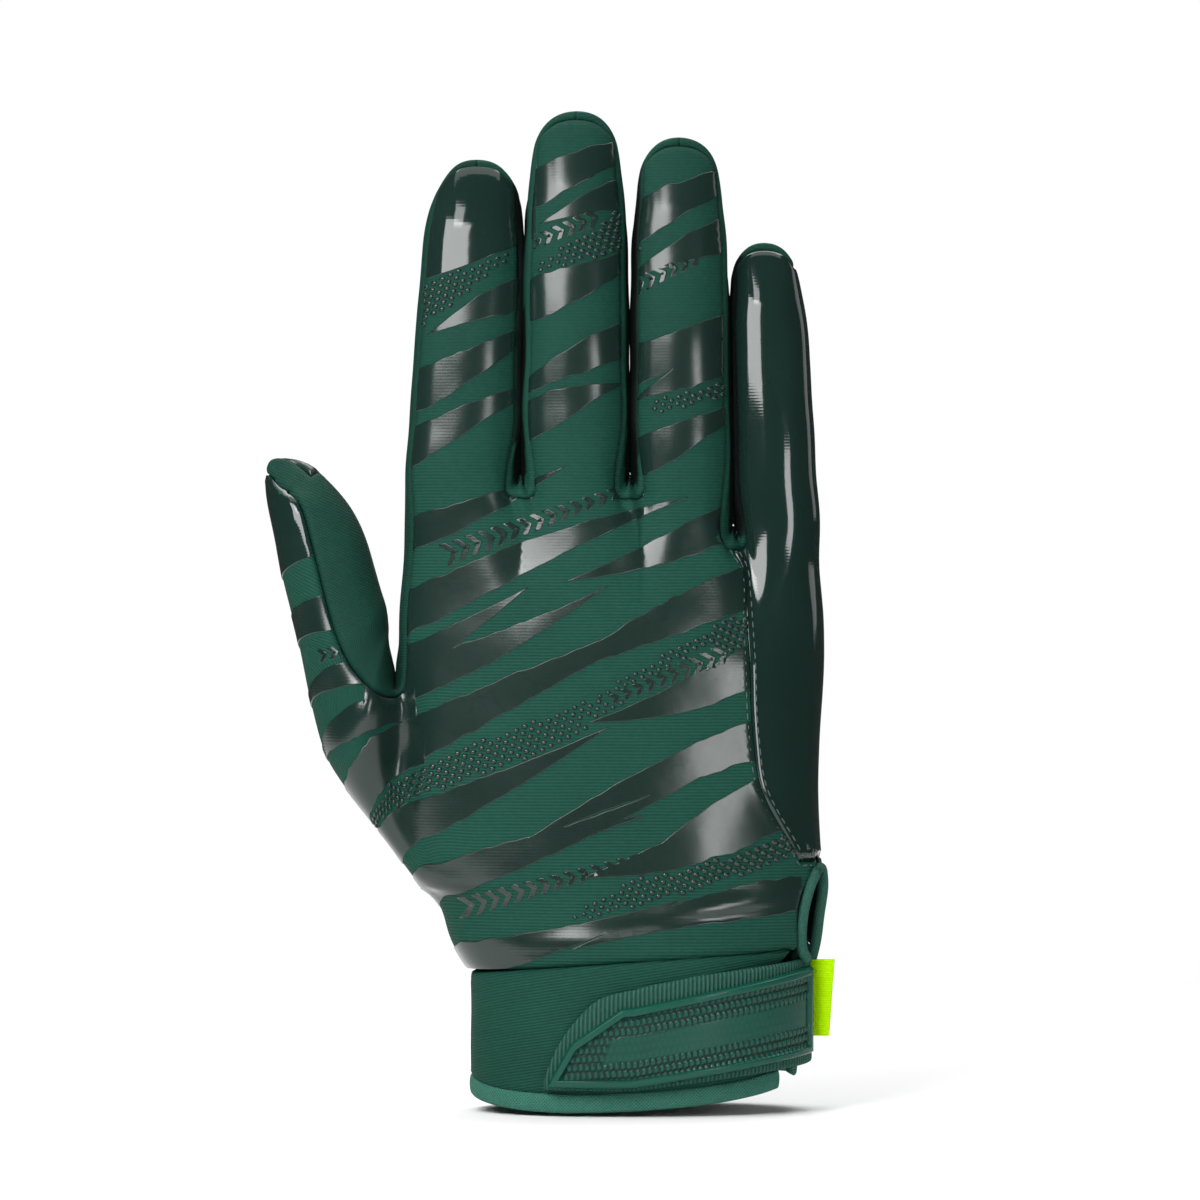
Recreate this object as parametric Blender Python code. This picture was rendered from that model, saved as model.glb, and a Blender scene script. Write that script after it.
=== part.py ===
"""Right-hand football glove in its worn shape: hollow fingers, palm and wrist, sewn from
separate panels, with a slit cuff closed by a strap. Metres, fingers up +Z, back of the hand
towards -Y, thumb towards -X. The origin is the centre of the wrist opening."""

import math
from typing import NamedTuple

import bmesh
import bpy
from mathutils import Vector

# Walls and seams
SHELL_WALL = 0.0013
CUFF_WALL = 0.0017
HEM_WALL = 0.0026
STRAP_WALL = 0.0016
SEAM_GAP = 0.0003

# Hand layout
HAND_WIDTH = 0.0975
WEB_GAP = 0.0007
FINGER_LENGTH = 0.0853
FINGER_DEPTH = 0.0226
PALM_LENGTH = 0.1130
PALM_DEPTH = 0.0420
KNUCKLE_SHARE_LEFT = 0.5503
WEB_DEPTH = 0.0075
PINKY_WEB_DROP = 0.0120

# Thumb
THUMB_LENGTH = 0.0752
THUMB_WIDTH = 0.0208
THUMB_DEPTH = 0.0236

# Cuff
CUFF_WIDTH = 0.0760
CUFF_DEPTH = 0.0500
CUFF_HEIGHT = 0.0298
CUFF_SEAM_SLOPE = 0.074
CUFF_CENTRE = -0.0013
CUFF_ROUNDNESS = 2.3
CUFF_PROUD = 0.0003
HEM_HEIGHT = 0.0052
HEM_PROUD = 0.0002
FRONT_DROP = 0.0050
RIM_SLOPE = 0.056
CUFF_FLARE = 0.0042
SLIT_FRONT = 0.0132
SLIT_BACK = 0.0034

# Strap, badge, slit tape and tag
STRAP_HEIGHT = 0.0248
STRAP_FRONT_REACH = 0.0199
STRAP_BACK_REACH = 0.0150
STRAP_SLACK = 0.0016
STRAP_LOW = 0.0002
STRAP_SLOPE = 0.125
BADGE_WALL = 0.0010
BADGE_FRAME = 0.0020
BADGE_FRAME_RISE = 0.0006
TAPE_RADIUS = 0.0013
TAG_WIDTH = 0.0038
TAG_HEIGHT = 0.0180
TAG_WALL = 0.0009


class FingerShape(NamedTuple):
    """One finger. Width is a share of HAND_WIDTH less its web gaps, length of FINGER_LENGTH,
    and depth of FINGER_DEPTH. Lean, how far its tip stands across, is a share of its own
    width. Curl and forward, how far its tip and its root stand towards the palm, are shares
    of FINGER_DEPTH. Taper is the share of its width that it loses by the tip."""

    name: str
    width: float
    depth: float
    length: float
    lean: float
    taper: float
    curl: float
    forward: float


FINGER_SHAPES = (
    FingerShape("index", 0.281, 0.982, 0.870, 0.128, 0.09, 0.177, -0.066),
    FingerShape("middle", 0.261, 1.000, 1.000, 0.008, 0.02, 0.177, -0.111),
    FingerShape("ring", 0.248, 0.938, 0.966, -0.020, 0.03, 0.186, -0.066),
    FingerShape("pinky", 0.210, 0.841, 0.782, -0.140, 0.06, 0.195, 0.066),
)


def real_finger(shape):
    """The same finger in metres."""
    width = shape.width * (HAND_WIDTH - WEB_GAP * 3)
    return FingerShape(shape.name, width, shape.depth * FINGER_DEPTH, shape.length * FINGER_LENGTH,
                       shape.lean * width, shape.taper, shape.curl * FINGER_DEPTH,
                       shape.forward * FINGER_DEPTH)


FINGERS = [real_finger(shape) for shape in FINGER_SHAPES]

# Across and deep are shares of the half width and half depth of a finger. Minus is towards
# the thumb side and towards the back of the hand.
FINGER_RING = {
    "d0": (-0.90, -0.52),
    "d1": (-0.52, -0.90),
    "d2": (0.00, -1.00),
    "d3": (0.52, -0.90),
    "d4": (0.90, -0.52),
    "wr": (1.00, 0.02),
    "p4": (0.86, 0.58),
    "p3": (0.48, 0.92),
    "p2": (0.00, 1.00),
    "p1": (-0.48, 0.92),
    "p0": (-0.86, 0.58),
    "wl": (-1.00, 0.02),
}

# The same at a finger's root, where it turns into a web. The seam runs wide round the web.
WEB_RING = {
    "d0": (-0.78, -0.64),
    "d4": (0.78, -0.64),
    "p0": (-0.76, 0.66),
    "p4": (0.76, 0.66),
}


class FingerRow(NamedTuple):
    """A section across a finger: shares of its length, width, depth and curl."""

    along: float
    wide: float
    deep: float
    curl: float


FINGER_ROWS = (
    FingerRow(0.00, 1.00, 1.00, 0.00),
    FingerRow(0.14, 1.00, 0.99, 0.02),
    FingerRow(0.30, 0.99, 0.97, 0.08),
    FingerRow(0.46, 0.985, 0.96, 0.20),
    FingerRow(0.61, 0.97, 0.92, 0.39),
    FingerRow(0.74, 0.945, 0.90, 0.59),
    FingerRow(0.84, 0.875, 0.83, 0.78),
)

# The last ring of a finger follows the round of its tip: the drop below the tip is a share
# of TIP_CAP, across and deep are shares of the half width and half depth. TIP_CAP is a
# share of the finger's width.
TIP_CAP = 0.39
TIP_RING = {
    "d0": (-0.74, -0.34, 0.62),
    "d1": (-0.46, -0.40, 0.20),
    "d2": (0.00, -0.42, 0.06),
    "d3": (0.46, -0.40, 0.20),
    "d4": (0.74, -0.34, 0.62),
    "wr": (0.77, 0.00, 0.66),
    "p4": (0.70, 0.42, 0.74),
    "p3": (0.42, 0.60, 0.42),
    "p2": (0.00, 0.64, 0.28),
    "p1": (-0.42, 0.60, 0.42),
    "p0": (-0.70, 0.42, 0.74),
    "wl": (-0.77, 0.00, 0.66),
    "m1": (-0.42, 0.00, 0.17),
    "m2": (0.00, 0.00, 0.00),
    "m3": (0.42, 0.00, 0.17),
}


class PalmRow(NamedTuple):
    """A section across the hand below the fingers. Down is a share of PALM_LENGTH, front and
    back of PALM_DEPTH. Left, seam, right and inset are shares of HAND_WIDTH from the knuckles'
    left end, or of CUFF_WIDTH from the cuff's left end in the rows of the wrist."""

    of: str
    down: float
    left: float
    seam: float
    right: float
    inset: float
    front: float
    back: float


PALM_ROWS = (
    PalmRow("hand", 0.100, -0.002, 0.818, 1.001, 0.020, -0.37, 0.30),
    PalmRow("hand", 0.210, -0.010, 0.824, 1.008, 0.020, -0.40, 0.36),
    PalmRow("hand", 0.320, -0.018, 0.828, 1.011, 0.020, -0.42, 0.41),
    PalmRow("hand", 0.430, -0.026, 0.832, 1.006, 0.020, -0.44, 0.46),
    PalmRow("hand", 0.545, -0.030, 0.842, 1.000, 0.020, -0.46, 0.50),
    PalmRow("hand", 0.660, -0.026, 0.874, 0.998, 0.020, -0.48, 0.51),
    PalmRow("hand", 0.795, 0.010, 0.950, 1.006, 0.012, -0.50, 0.49),
    PalmRow("cuff", 0.832, -0.152, 0.987, 1.094, 0.046, -0.51, 0.49),
    PalmRow("cuff", 0.868, -0.101, 0.949, 1.098, 0.074, -0.52, 0.50),
    PalmRow("cuff", 0.930, -0.069, 0.913, 1.086, 0.080, -0.55, 0.53),
    PalmRow("cuff", 1.000, -0.012, 0.878, 1.072, 0.067, -0.585, 0.58),
)
THUMB_TOP_ROW = 3
THUMB_LOW_ROW = 6
SLIT_TOP_ROW = 6
KNUCKLE_BLEND = (0.55, 0.22)


class ThumbRow(NamedTuple):
    """A section across the thumb. Along and out are shares of THUMB_LENGTH from the middle of
    its root, wide and deep of its width and depth, tilt is in degrees, set is a share of
    THUMB_DEPTH towards the palm, and roll turns the ring from its root to its own pose."""

    along: float
    out: float
    wide: float
    tilt: float
    deep: float
    set: float
    roll: float


THUMB_ROWS = (
    ThumbRow(0.169, 0.073, 1.73, 75.0, 1.22, 0.05, 0.38),
    ThumbRow(0.265, 0.118, 1.56, 61.9, 1.16, 0.10, 0.60),
    ThumbRow(0.386, 0.146, 1.29, 46.5, 1.10, 0.14, 0.86),
    ThumbRow(0.507, 0.173, 1.07, 28.0, 1.02, 0.18, 1.00),
    ThumbRow(0.628, 0.204, 1.03, 16.8, 1.00, 0.22, 1.00),
    ThumbRow(0.747, 0.235, 1.01, 4.5, 0.94, 0.26, 1.00),
    ThumbRow(0.862, 0.278, 0.88, 0.0, 0.80, 0.30, 1.00),
    ThumbRow(0.940, 0.317, 0.62, 2.0, 0.52, 0.33, 1.00),
)
THUMB_ROOT_OUT = -0.029
THUMB_ROOT_UP = 0.381
THUMB_TIP_OUT = 0.342
# Degrees round the thumb from the back of the hand, at its root and at its tip.
THUMB_ROOT_TURN = (-45, -15, 15, 50, 90, 130, 165, 195, 225, 270)
THUMB_TIP_TURN = (11, 42, 75, 108, 140, 172, 205, 240, 277, 320)
THUMB_MIDS = ((0.0, 0.12), (0.42, 0.12))
# How far the last ring's points hang below it, as shares of THUMB_WIDTH.
THUMB_TIP_SAG = (0.16, 0.05, 0.0, 0.0, 0.08, 0.0, 0.0, 0.0, 0.0, 0.0)


class StripEnd(NamedTuple):
    """A section near the strap's pointed end. All are shares of STRAP_HEIGHT: the distance
    from the point, and the strip's lower and upper edges above the strap's lower line."""

    along: float
    low: float
    high: float


STRAP_END = (
    StripEnd(0.00, 0.00, 0.10),
    StripEnd(0.04, 0.00, 0.20),
    StripEnd(0.14, 0.00, 0.42),
    StripEnd(0.29, 0.00, 0.63),
    StripEnd(0.49, 0.00, 0.83),
    StripEnd(0.69, 0.00, 0.91),
    StripEnd(0.99, 0.00, 0.965),
    StripEnd(1.45, 0.00, 1.00),
)
BADGE_END = (
    StripEnd(0.065, 0.02, 0.06),
    StripEnd(0.14, 0.02, 0.21),
    StripEnd(0.29, 0.02, 0.44),
    StripEnd(0.53, 0.02, 0.62),
    StripEnd(0.79, 0.02, 0.78),
    StripEnd(1.24, 0.04, 0.82),
    StripEnd(1.73, 0.05, 0.85),
)
BADGE_LAST = StripEnd(2.85, 0.10, 0.93)

PALM_COLUMNS = 23
SEAM_COLUMN = 17


def knuckle_left():
    return -KNUCKLE_SHARE_LEFT * HAND_WIDTH + CUFF_CENTRE


def cuff_seam_z(x):
    """The cuff seam lies in one tilted plane, higher at the little finger's side."""
    return CUFF_HEIGHT + CUFF_SEAM_SLOPE * (x - CUFF_CENTRE)


def finger_roots():
    """The x of each finger's left side and centre, and each web's x, at the knuckles."""
    left = knuckle_left()
    centres = []
    webs = []
    for finger in FINGERS:
        centres.append(left + finger.width / 2)
        left += finger.width
        webs.append(left + WEB_GAP / 2)
        left += WEB_GAP
    return centres, webs[:-1]


def root_z(x):
    """Height of the finger roots: level, then falling towards the little finger."""
    left = knuckle_left()
    across = (x - left) / HAND_WIDTH
    fall = min(max((across - 0.62) / 0.17, 0.0), 1.0)
    return CUFF_HEIGHT + PALM_LENGTH - PINKY_WEB_DROP * fall


def finger_point(number, row, column):
    """A point of a finger's ring, or of its tip ring when row is None."""
    finger = FINGERS[number]
    centre = finger_roots()[0][number]
    half_wide = finger.width / 2
    half_deep = finger.depth / 2
    if row is None:
        across, deep, drop = TIP_RING[column]
        wide = half_wide * (1 - finger.taper)
        x = centre + finger.lean + across * wide
        z = root_z(centre) + finger.length - drop * TIP_CAP * finger.width
        return Vector((x, finger.forward + finger.curl + deep * half_deep, z))
    section = FINGER_ROWS[row]
    across, deep = FINGER_RING[column]
    root = root_z(centre + across * half_wide)
    meets_web = number > 0 if column[1] == "0" else number < len(FINGERS) - 1
    if row == 0 and column in WEB_RING and meets_web:
        across, deep = WEB_RING[column]
        root -= WEB_DEPTH * 0.40
    wide = half_wide * section.wide * (1 - finger.taper * section.along)
    x = centre + finger.lean * section.along + across * wide
    y = finger.forward + finger.curl * section.curl + deep * half_deep * section.deep
    top = root_z(centre) + finger.length
    return Vector((x, y, root + (top - root) * section.along))


def crown(share):
    """Depth of the hand across its width: nearly flat, rounding off at both sides."""
    return (1 - min(abs(share), 1.0) ** 2.4) ** (1 / 2.2)


def palm_column_share(column):
    """Where a column stands between the left side and the seam column, or past it."""
    centres, webs = finger_roots()
    number, place = divmod(column, 6)
    if place == 5:
        x = webs[number]
    else:
        x = centres[number] + FINGER_RING[f"d{place}"][0] * FINGERS[number].width / 2
    return (x - knuckle_left()) / HAND_WIDTH


def palm_point(row, side, column):
    """A point of the hand's section. Side is d for the back of the hand, p for the palm, and
    w for the two edges, where column 0 is the thumb side and column 1 the other."""
    section = PALM_ROWS[row]
    if section.of == "cuff":
        left_x, width = CUFF_CENTRE - CUFF_WIDTH / 2, CUFF_WIDTH
    else:
        left_x, width = knuckle_left(), HAND_WIDTH
    low = left_x + section.left * width
    high = left_x + section.right * width
    middle = (low + high) / 2
    if side == "w":
        x = high if column else low
        y = 0.02 * PALM_DEPTH
        if column and row > SLIT_TOP_ROW:
            y = -SLIT_BACK * min((row - SLIT_TOP_ROW) / 2, 1.0)
    else:
        first = palm_column_share(0)
        seam = palm_column_share(SEAM_COLUMN)
        last = palm_column_share(PALM_COLUMNS - 1)
        share = palm_column_share(column)
        inner_low = low + 0.020 * width
        inner_high = high - (section.inset if side == "d" else 0.020) * width
        seam_x = left_x + section.seam * width
        if column <= SEAM_COLUMN:
            x = inner_low + (seam_x - inner_low) * (share - first) / (seam - first)
        else:
            x = seam_x + (inner_high - seam_x) * (share - seam) / (last - seam)
        deep = section.front if side == "d" else section.back
        y = deep * PALM_DEPTH * crown((x - middle) / ((high - low) / 2))
    if row < len(KNUCKLE_BLEND) and side != "w":
        number, place = divmod(column, 6)
        if place < 5:
            finger_y = finger_point(number, 0, f"{side}{place}").y
        else:
            finger_y = (finger_point(number, 0, f"{side}4").y + finger_point(number + 1, 0, f"{side}0").y) / 2
        y += KNUCKLE_BLEND[row] * (finger_y - y)
    top = root_z(x)
    bottom = cuff_seam_z(x) + SEAM_GAP / 2
    return Vector((x, y, top + (bottom - top) * section.down))


def web_point(number, side):
    """The bottom of the gap between two fingers: its edge at the back (d) or palm (p), or the
    saddle between them (w)."""
    centres, webs = finger_roots()
    deep = (FINGERS[number].depth + FINGERS[number + 1].depth) / 4
    forward = (FINGERS[number].forward + FINGERS[number + 1].forward) / 2
    x = webs[number]
    z = root_z(x)
    if side == "w":
        return Vector((x, forward, z + WEB_DEPTH * 0.1))
    if side == "d":
        return Vector((x, forward - deep * 0.75, z - WEB_DEPTH * 0.60))
    return Vector((x, forward + deep * 0.75, z - WEB_DEPTH * 0.45))


def thumb_root():
    """The middle of the thumb's root, at the side of the hand."""
    return Vector((knuckle_left() + THUMB_ROOT_OUT * HAND_WIDTH, 0.0,
                   CUFF_HEIGHT + PALM_LENGTH * THUMB_ROOT_UP))


def thumb_point(row, place):
    """A point of the thumb's ring. Place counts from the front seam round its outer side."""
    section = THUMB_ROWS[row]
    centre = thumb_root() + Vector((-section.out, 0.0, section.along)) * THUMB_LENGTH
    centre.y = section.set * THUMB_DEPTH
    if row == len(THUMB_ROWS) - 1:
        centre.z -= THUMB_TIP_SAG[place] * THUMB_WIDTH
    tilt = math.radians(section.tilt)
    along = Vector((math.cos(tilt), 0.0, math.sin(tilt)))
    start = THUMB_ROOT_TURN[place]
    turn = math.radians(start + (THUMB_TIP_TURN[place] - start) * section.roll)
    wide = section.wide * THUMB_WIDTH / 2
    deep = section.deep * THUMB_DEPTH / 2
    return centre - along * math.sin(turn) * wide - Vector((0, math.cos(turn) * deep, 0))


def thumb_tip_point(number):
    """The two points on the round of the thumb's tip."""
    last = THUMB_ROWS[-1]
    inward, drop = THUMB_MIDS[number]
    root = thumb_root()
    x = root.x - THUMB_TIP_OUT * THUMB_LENGTH + (0.16 - inward) * THUMB_WIDTH / 2
    return Vector((x, last.set * THUMB_DEPTH, root.z + THUMB_LENGTH * (1 - drop * 0.10)))


class Skin:
    """An outer surface as named points and four-sided faces, each face tagged with its piece."""

    def __init__(self):
        self.points = {}
        self.faces = []

    def add(self, piece, *keys):
        self.faces.append((piece, keys))

    def normals(self):
        """The mean direction of the faces round each point, shared by all the pieces there."""
        found = {key: Vector() for key in self.points}
        for _, keys in self.faces:
            a, b, c, d = (self.points[key] for key in keys)
            facing = (c - a).cross(d - b)
            for key in keys:
                found[key] += facing
        return {key: value.normalized() for key, value in found.items()}


def finger_key(number, row, column):
    """Finger points, with the finger roots shared with the top row of the hand."""
    return ("finger", number, row, column)


def palm_key(row, side, column):
    """Row -1 is the row of finger roots and webs."""
    if row >= 0:
        return ("palm", row, side, column)
    if side == "w":
        return finger_key(3, 0, "wr") if column else finger_key(0, 0, "wl")
    number, place = divmod(column, 6)
    if place == 5:
        return ("web", number, side)
    return finger_key(number, 0, f"{side}{place}")


def thumb_key(row, place):
    """Row -1 is the edge of the thumb's hole in the side of the hand."""
    if row >= 0:
        return ("thumb", row, place)
    top, low = THUMB_TOP_ROW, THUMB_LOW_ROW
    front = [palm_key(r, "d", 0) for r in range(top, low + 1)]
    back = [palm_key(r, "p", 0) for r in range(low, top - 1, -1)]
    return (front + [palm_key(low, "w", 0)] + back + [palm_key(top, "w", 0)])[place]


def add_fingers(skin):
    ring = list(FINGER_RING)
    fourchettes = ("fourchette_thumb_index", "fourchette_index_middle",
                   "fourchette_middle_ring", "fourchette_ring_pinky", "pinky_panel")
    rows = list(range(len(FINGER_ROWS))) + [None]
    for number in range(len(FINGERS)):
        for row in rows:
            for column in ring:
                skin.points[finger_key(number, row, column)] = finger_point(number, row, column)
        for column in ("m1", "m2", "m3"):
            skin.points[finger_key(number, None, column)] = finger_point(number, None, column)
        back = "pinky_panel" if number == 3 else "back_panel"
        left, right = fourchettes[number], fourchettes[number + 1]
        pieces = [back] * 4 + [right] * 2 + ["palm_panel"] * 4 + [left] * 2
        for low, high in zip(rows, rows[1:]):
            for place, piece in enumerate(pieces):
                a, b = ring[place], ring[(place + 1) % len(ring)]
                skin.add(piece, finger_key(number, low, a), finger_key(number, low, b),
                         finger_key(number, high, b), finger_key(number, high, a))
        tip_right = left if number == 3 else right
        middle = ("wl", "m1", "m2", "m3", "wr")
        for place in range(4):
            piece = left if place < 2 else tip_right
            front = [finger_key(number, None, f"d{place}"), finger_key(number, None, f"d{place + 1}")]
            behind = [finger_key(number, None, f"p{place}"), finger_key(number, None, f"p{place + 1}")]
            a = finger_key(number, None, middle[place])
            b = finger_key(number, None, middle[place + 1])
            skin.add(piece, front[0], front[1], b, a)
            skin.add(piece, a, b, behind[1], behind[0])


def add_webs(skin):
    pieces = ("fourchette_index_middle", "fourchette_middle_ring", "fourchette_ring_pinky")
    for number, piece in enumerate(pieces):
        for side in "dwp":
            skin.points[("web", number, side)] = web_point(number, side)
        front, saddle, back = (("web", number, side) for side in "dwp")
        left = [finger_key(number, 0, column) for column in ("d4", "wr", "p4")]
        right = [finger_key(number + 1, 0, column) for column in ("d0", "wl", "p0")]
        skin.add(piece, left[0], front, saddle, left[1])
        skin.add(piece, front, right[0], right[1], saddle)
        skin.add(piece, left[1], saddle, back, left[2])
        skin.add(piece, saddle, right[1], right[2], back)


def add_palm(skin):
    last_column = PALM_COLUMNS - 1
    for row in range(len(PALM_ROWS)):
        for side in "dp":
            for column in range(PALM_COLUMNS):
                skin.points[palm_key(row, side, column)] = palm_point(row, side, column)
        skin.points[palm_key(row, "w", 1)] = palm_point(row, "w", 1)
        if not THUMB_TOP_ROW < row < THUMB_LOW_ROW:
            skin.points[palm_key(row, "w", 0)] = palm_point(row, "w", 0)
    for high in range(-1, len(PALM_ROWS) - 1):
        low = high + 1
        above_slit = low <= SLIT_TOP_ROW
        for column in range(last_column):
            side_panel = above_slit and column >= SEAM_COLUMN
            skin.add("pinky_panel" if side_panel else "back_panel",
                     palm_key(low, "d", column), palm_key(low, "d", column + 1),
                     palm_key(high, "d", column + 1), palm_key(high, "d", column))
            skin.add("palm_panel",
                     palm_key(low, "p", column + 1), palm_key(low, "p", column),
                     palm_key(high, "p", column), palm_key(high, "p", column + 1))
        right = [palm_key(high, "d", last_column), palm_key(high, "w", 1), palm_key(high, "p", last_column)]
        right_low = [palm_key(low, "d", last_column), palm_key(low, "w", 1), palm_key(low, "p", last_column)]
        if above_slit:
            skin.add("pinky_panel", right_low[0], right_low[1], right[1], right[0])
        skin.add("pinky_panel" if above_slit else "palm_panel",
                 right_low[1], right_low[2], right[2], right[1])
        if THUMB_TOP_ROW < low <= THUMB_LOW_ROW:
            continue
        above_thumb = low <= THUMB_TOP_ROW
        left = [palm_key(high, "p", 0), palm_key(high, "w", 0), palm_key(high, "d", 0)]
        left_low = [palm_key(low, "p", 0), palm_key(low, "w", 0), palm_key(low, "d", 0)]
        skin.add("fourchette_thumb_index" if above_thumb else "palm_panel",
                 left_low[0], left_low[1], left[1], left[0])
        skin.add("fourchette_thumb_index" if above_thumb else "back_panel",
                 left_low[1], left_low[2], left[2], left[1])


def add_thumb(skin):
    places = len(THUMB_ROOT_TURN)
    pieces = (["back_panel"] * 4 + ["palm_panel"] * 4 + ["fourchette_thumb_index"] * 2)
    for row in range(len(THUMB_ROWS)):
        for place in range(places):
            skin.points[thumb_key(row, place)] = thumb_point(row, place)
    for low in range(-1, len(THUMB_ROWS) - 1):
        for place, piece in enumerate(pieces):
            after = (place + 1) % places
            skin.add(piece, thumb_key(low, after), thumb_key(low, place),
                     thumb_key(low + 1, place), thumb_key(low + 1, after))
    top = len(THUMB_ROWS) - 1
    for number in (0, 1):
        skin.points[("thumb tip", number)] = thumb_tip_point(number)
    middle = [thumb_key(top, 9), ("thumb tip", 0), ("thumb tip", 1), thumb_key(top, 4)]
    for place in range(3):
        skin.add("fourchette_thumb_index", thumb_key(top, place + 1), thumb_key(top, place),
                 middle[place], middle[place + 1])
        skin.add("palm_panel", middle[place + 1], middle[place],
                 thumb_key(top, 8 - place), thumb_key(top, 7 - place))


def glove_skin():
    skin = Skin()
    add_fingers(skin)
    add_webs(skin)
    add_palm(skin)
    add_thumb(skin)
    return skin


def seam_shifts(skin, faces, normals):
    """How far each point on a piece's edge moves into the piece, to leave half a seam gap."""
    edges = {(a, b) for keys in faces for a, b in zip(keys, keys[1:] + keys[:1])}
    border = [(a, b) for a, b in edges if (b, a) not in edges]
    border.sort(key=repr)
    inward = {}
    for a, b in border:
        along = (skin.points[b] - skin.points[a]).normalized()
        for key in (a, b):
            inward.setdefault(key, []).append(normals[key].cross(along).normalized())
    shifts = {}
    for key, sides in inward.items():
        middle = sum(sides, Vector()).normalized()
        square = max(middle.dot(sides[0]), 0.5)
        shifts[key] = middle * (SEAM_GAP * 0.6 / square)
    return border, shifts


def wall_mesh(name, skin, piece, wall):
    """The closed wall of one piece: its outer faces, the same faces one wall further in, and
    a rim along its seams."""
    normals = skin.normals()
    faces = [keys for tag, keys in skin.faces if tag == piece]
    border, shifts = seam_shifts(skin, faces, normals)
    order = {}
    for keys in faces:
        for key in keys:
            order.setdefault(key, len(order))
    outer = [skin.points[key] + shifts.get(key, Vector()) for key in order]
    inner = [point - normals[key] * wall for key, point in zip(order, outer)]
    count = len(order)
    polygons = [[order[key] for key in keys] for keys in faces]
    polygons += [[order[key] + count for key in reversed(keys)] for keys in faces]
    for a, b in border:
        i, j = order[a], order[b]
        if repr(a) < repr(b):
            polygons += [[j, i, j + count], [i, i + count, j + count]]
        else:
            polygons += [[j, i, i + count], [j, i + count, j + count]]
    mesh = bpy.data.meshes.new(name)
    mesh.from_pydata([tuple(point) for point in outer + inner], [], polygons)
    mesh.validate()
    return mesh


def cuff_section(turn):
    """A point on the unit section of the cuff, a rounded oval."""
    c, s = math.cos(turn), math.sin(turn)
    power = 2 / CUFF_ROUNDNESS
    return (math.copysign(abs(c) ** power, c), math.copysign(abs(s) ** power, s))


def cuff_reach_turn(reach):
    """The turn from the middle of the back of the hand to a distance across it."""
    return math.asin((reach / (CUFF_WIDTH / 2)) ** (CUFF_ROUNDNESS / 2))


def cuff_deep_turn(deep):
    """The turn from the little finger's side to a distance towards the back of the hand."""
    return math.asin((deep / (CUFF_DEPTH / 2)) ** (CUFF_ROUNDNESS / 2))


def cuff_turns(count):
    """Angles round the cuff, from the slit's front edge round the thumb side to its back
    edge. Angle 0 is the little finger's side and minus is the back of the hand."""
    start = -cuff_deep_turn(SLIT_FRONT)
    end = -2 * math.pi - cuff_deep_turn(SLIT_BACK)
    return [start + (end - start) * i / (count - 1) for i in range(count)]


def rim_z(x, y):
    """Height of the cuff's lower rim, which hangs lower at the back of the hand."""
    share = max(-y / (CUFF_DEPTH / 2), 0.0)
    return RIM_SLOPE * (x - CUFF_CENTRE) - FRONT_DROP * share ** 1.3


CUFF_COLUMNS = 40
# Height of each row between the rim and the seam, and how proud it stands.
CUFF_BAND_ROWS = ((1.00, 0.0), (0.86, 1.0), (0.45, 1.0), (0.00, 1.0))
CUFF_HEM_ROWS = ((1.00, 0.4), (0.78, 1.0), (0.22, 1.0), (0.00, 0.2))


def cuff_point(turn, proud, level, part):
    """A point of the cuff's band or hem. Level runs from 0 at its lower to 1 at its upper edge."""
    across, deep = cuff_section(turn)
    x = CUFF_CENTRE + across * (CUFF_WIDTH / 2 + proud)
    y = deep * (CUFF_DEPTH / 2 + proud)
    if part == "band" and level == 1.0:
        x += CUFF_FLARE * max(across, 0.0) ** 3
    rim = rim_z(x, y)
    hem = rim + HEM_HEIGHT
    if part == "hem":
        return Vector((x, y, rim + (hem - SEAM_GAP / 2 - rim) * level))
    low = hem + SEAM_GAP / 2
    return Vector((x, y, low + (cuff_seam_z(x) - SEAM_GAP / 2 - low) * level))


def cuff_skin():
    """The cuff is open at the slit, so its columns don't close."""
    skin = Skin()
    turns = cuff_turns(CUFF_COLUMNS)
    for part, rows, proud in (("band", CUFF_BAND_ROWS, CUFF_PROUD),
                              ("hem", CUFF_HEM_ROWS, CUFF_PROUD + HEM_PROUD)):
        for row, (level, share) in enumerate(rows):
            for column, turn in enumerate(turns):
                skin.points[(part, row, column)] = cuff_point(turn, proud * share, level, part)
        for row in range(len(rows) - 1):
            for column in range(CUFF_COLUMNS - 1):
                skin.add(f"cuff_{part}", (part, row, column), (part, row, column + 1),
                         (part, row + 1, column + 1), (part, row + 1, column))
    return skin


class StrapPath:
    """The strap's line round the outside of the cuff, from its pointed end at the back of the
    hand, past the little finger's side, to its sewn end at the palm."""

    def __init__(self, stand_off):
        start = -math.pi / 2 - cuff_reach_turn(STRAP_FRONT_REACH)
        end = math.pi / 2 - cuff_reach_turn(STRAP_BACK_REACH)
        steps = 160
        self.points = []
        for i in range(steps + 1):
            across, deep = cuff_section(start + (end - start) * i / steps)
            slack = STRAP_SLACK * max(across, 0.0) ** 3
            self.points.append(Vector((CUFF_CENTRE + across * (CUFF_WIDTH / 2 + stand_off) + slack,
                                       deep * (CUFF_DEPTH / 2 + stand_off), 0.0)))
        self.lengths = [0.0]
        for a, b in zip(self.points, self.points[1:]):
            self.lengths.append(self.lengths[-1] + (b - a).length)

    def at(self, distance):
        """The point at a distance along the path."""
        want = min(max(distance, 0.0), self.lengths[-1])
        for i in range(1, len(self.lengths)):
            if self.lengths[i] >= want:
                before = self.lengths[i - 1]
                part = (want - before) / (self.lengths[i] - before)
                return self.points[i - 1].lerp(self.points[i], part)
        return self.points[-1].copy()

    def outward(self, distance):
        """The level direction away from the cuff at a distance along the path."""
        step = 0.001
        ahead = self.at(distance + step) - self.at(distance - step)
        return ahead.cross(Vector((0, 0, 1))).normalized()


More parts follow.
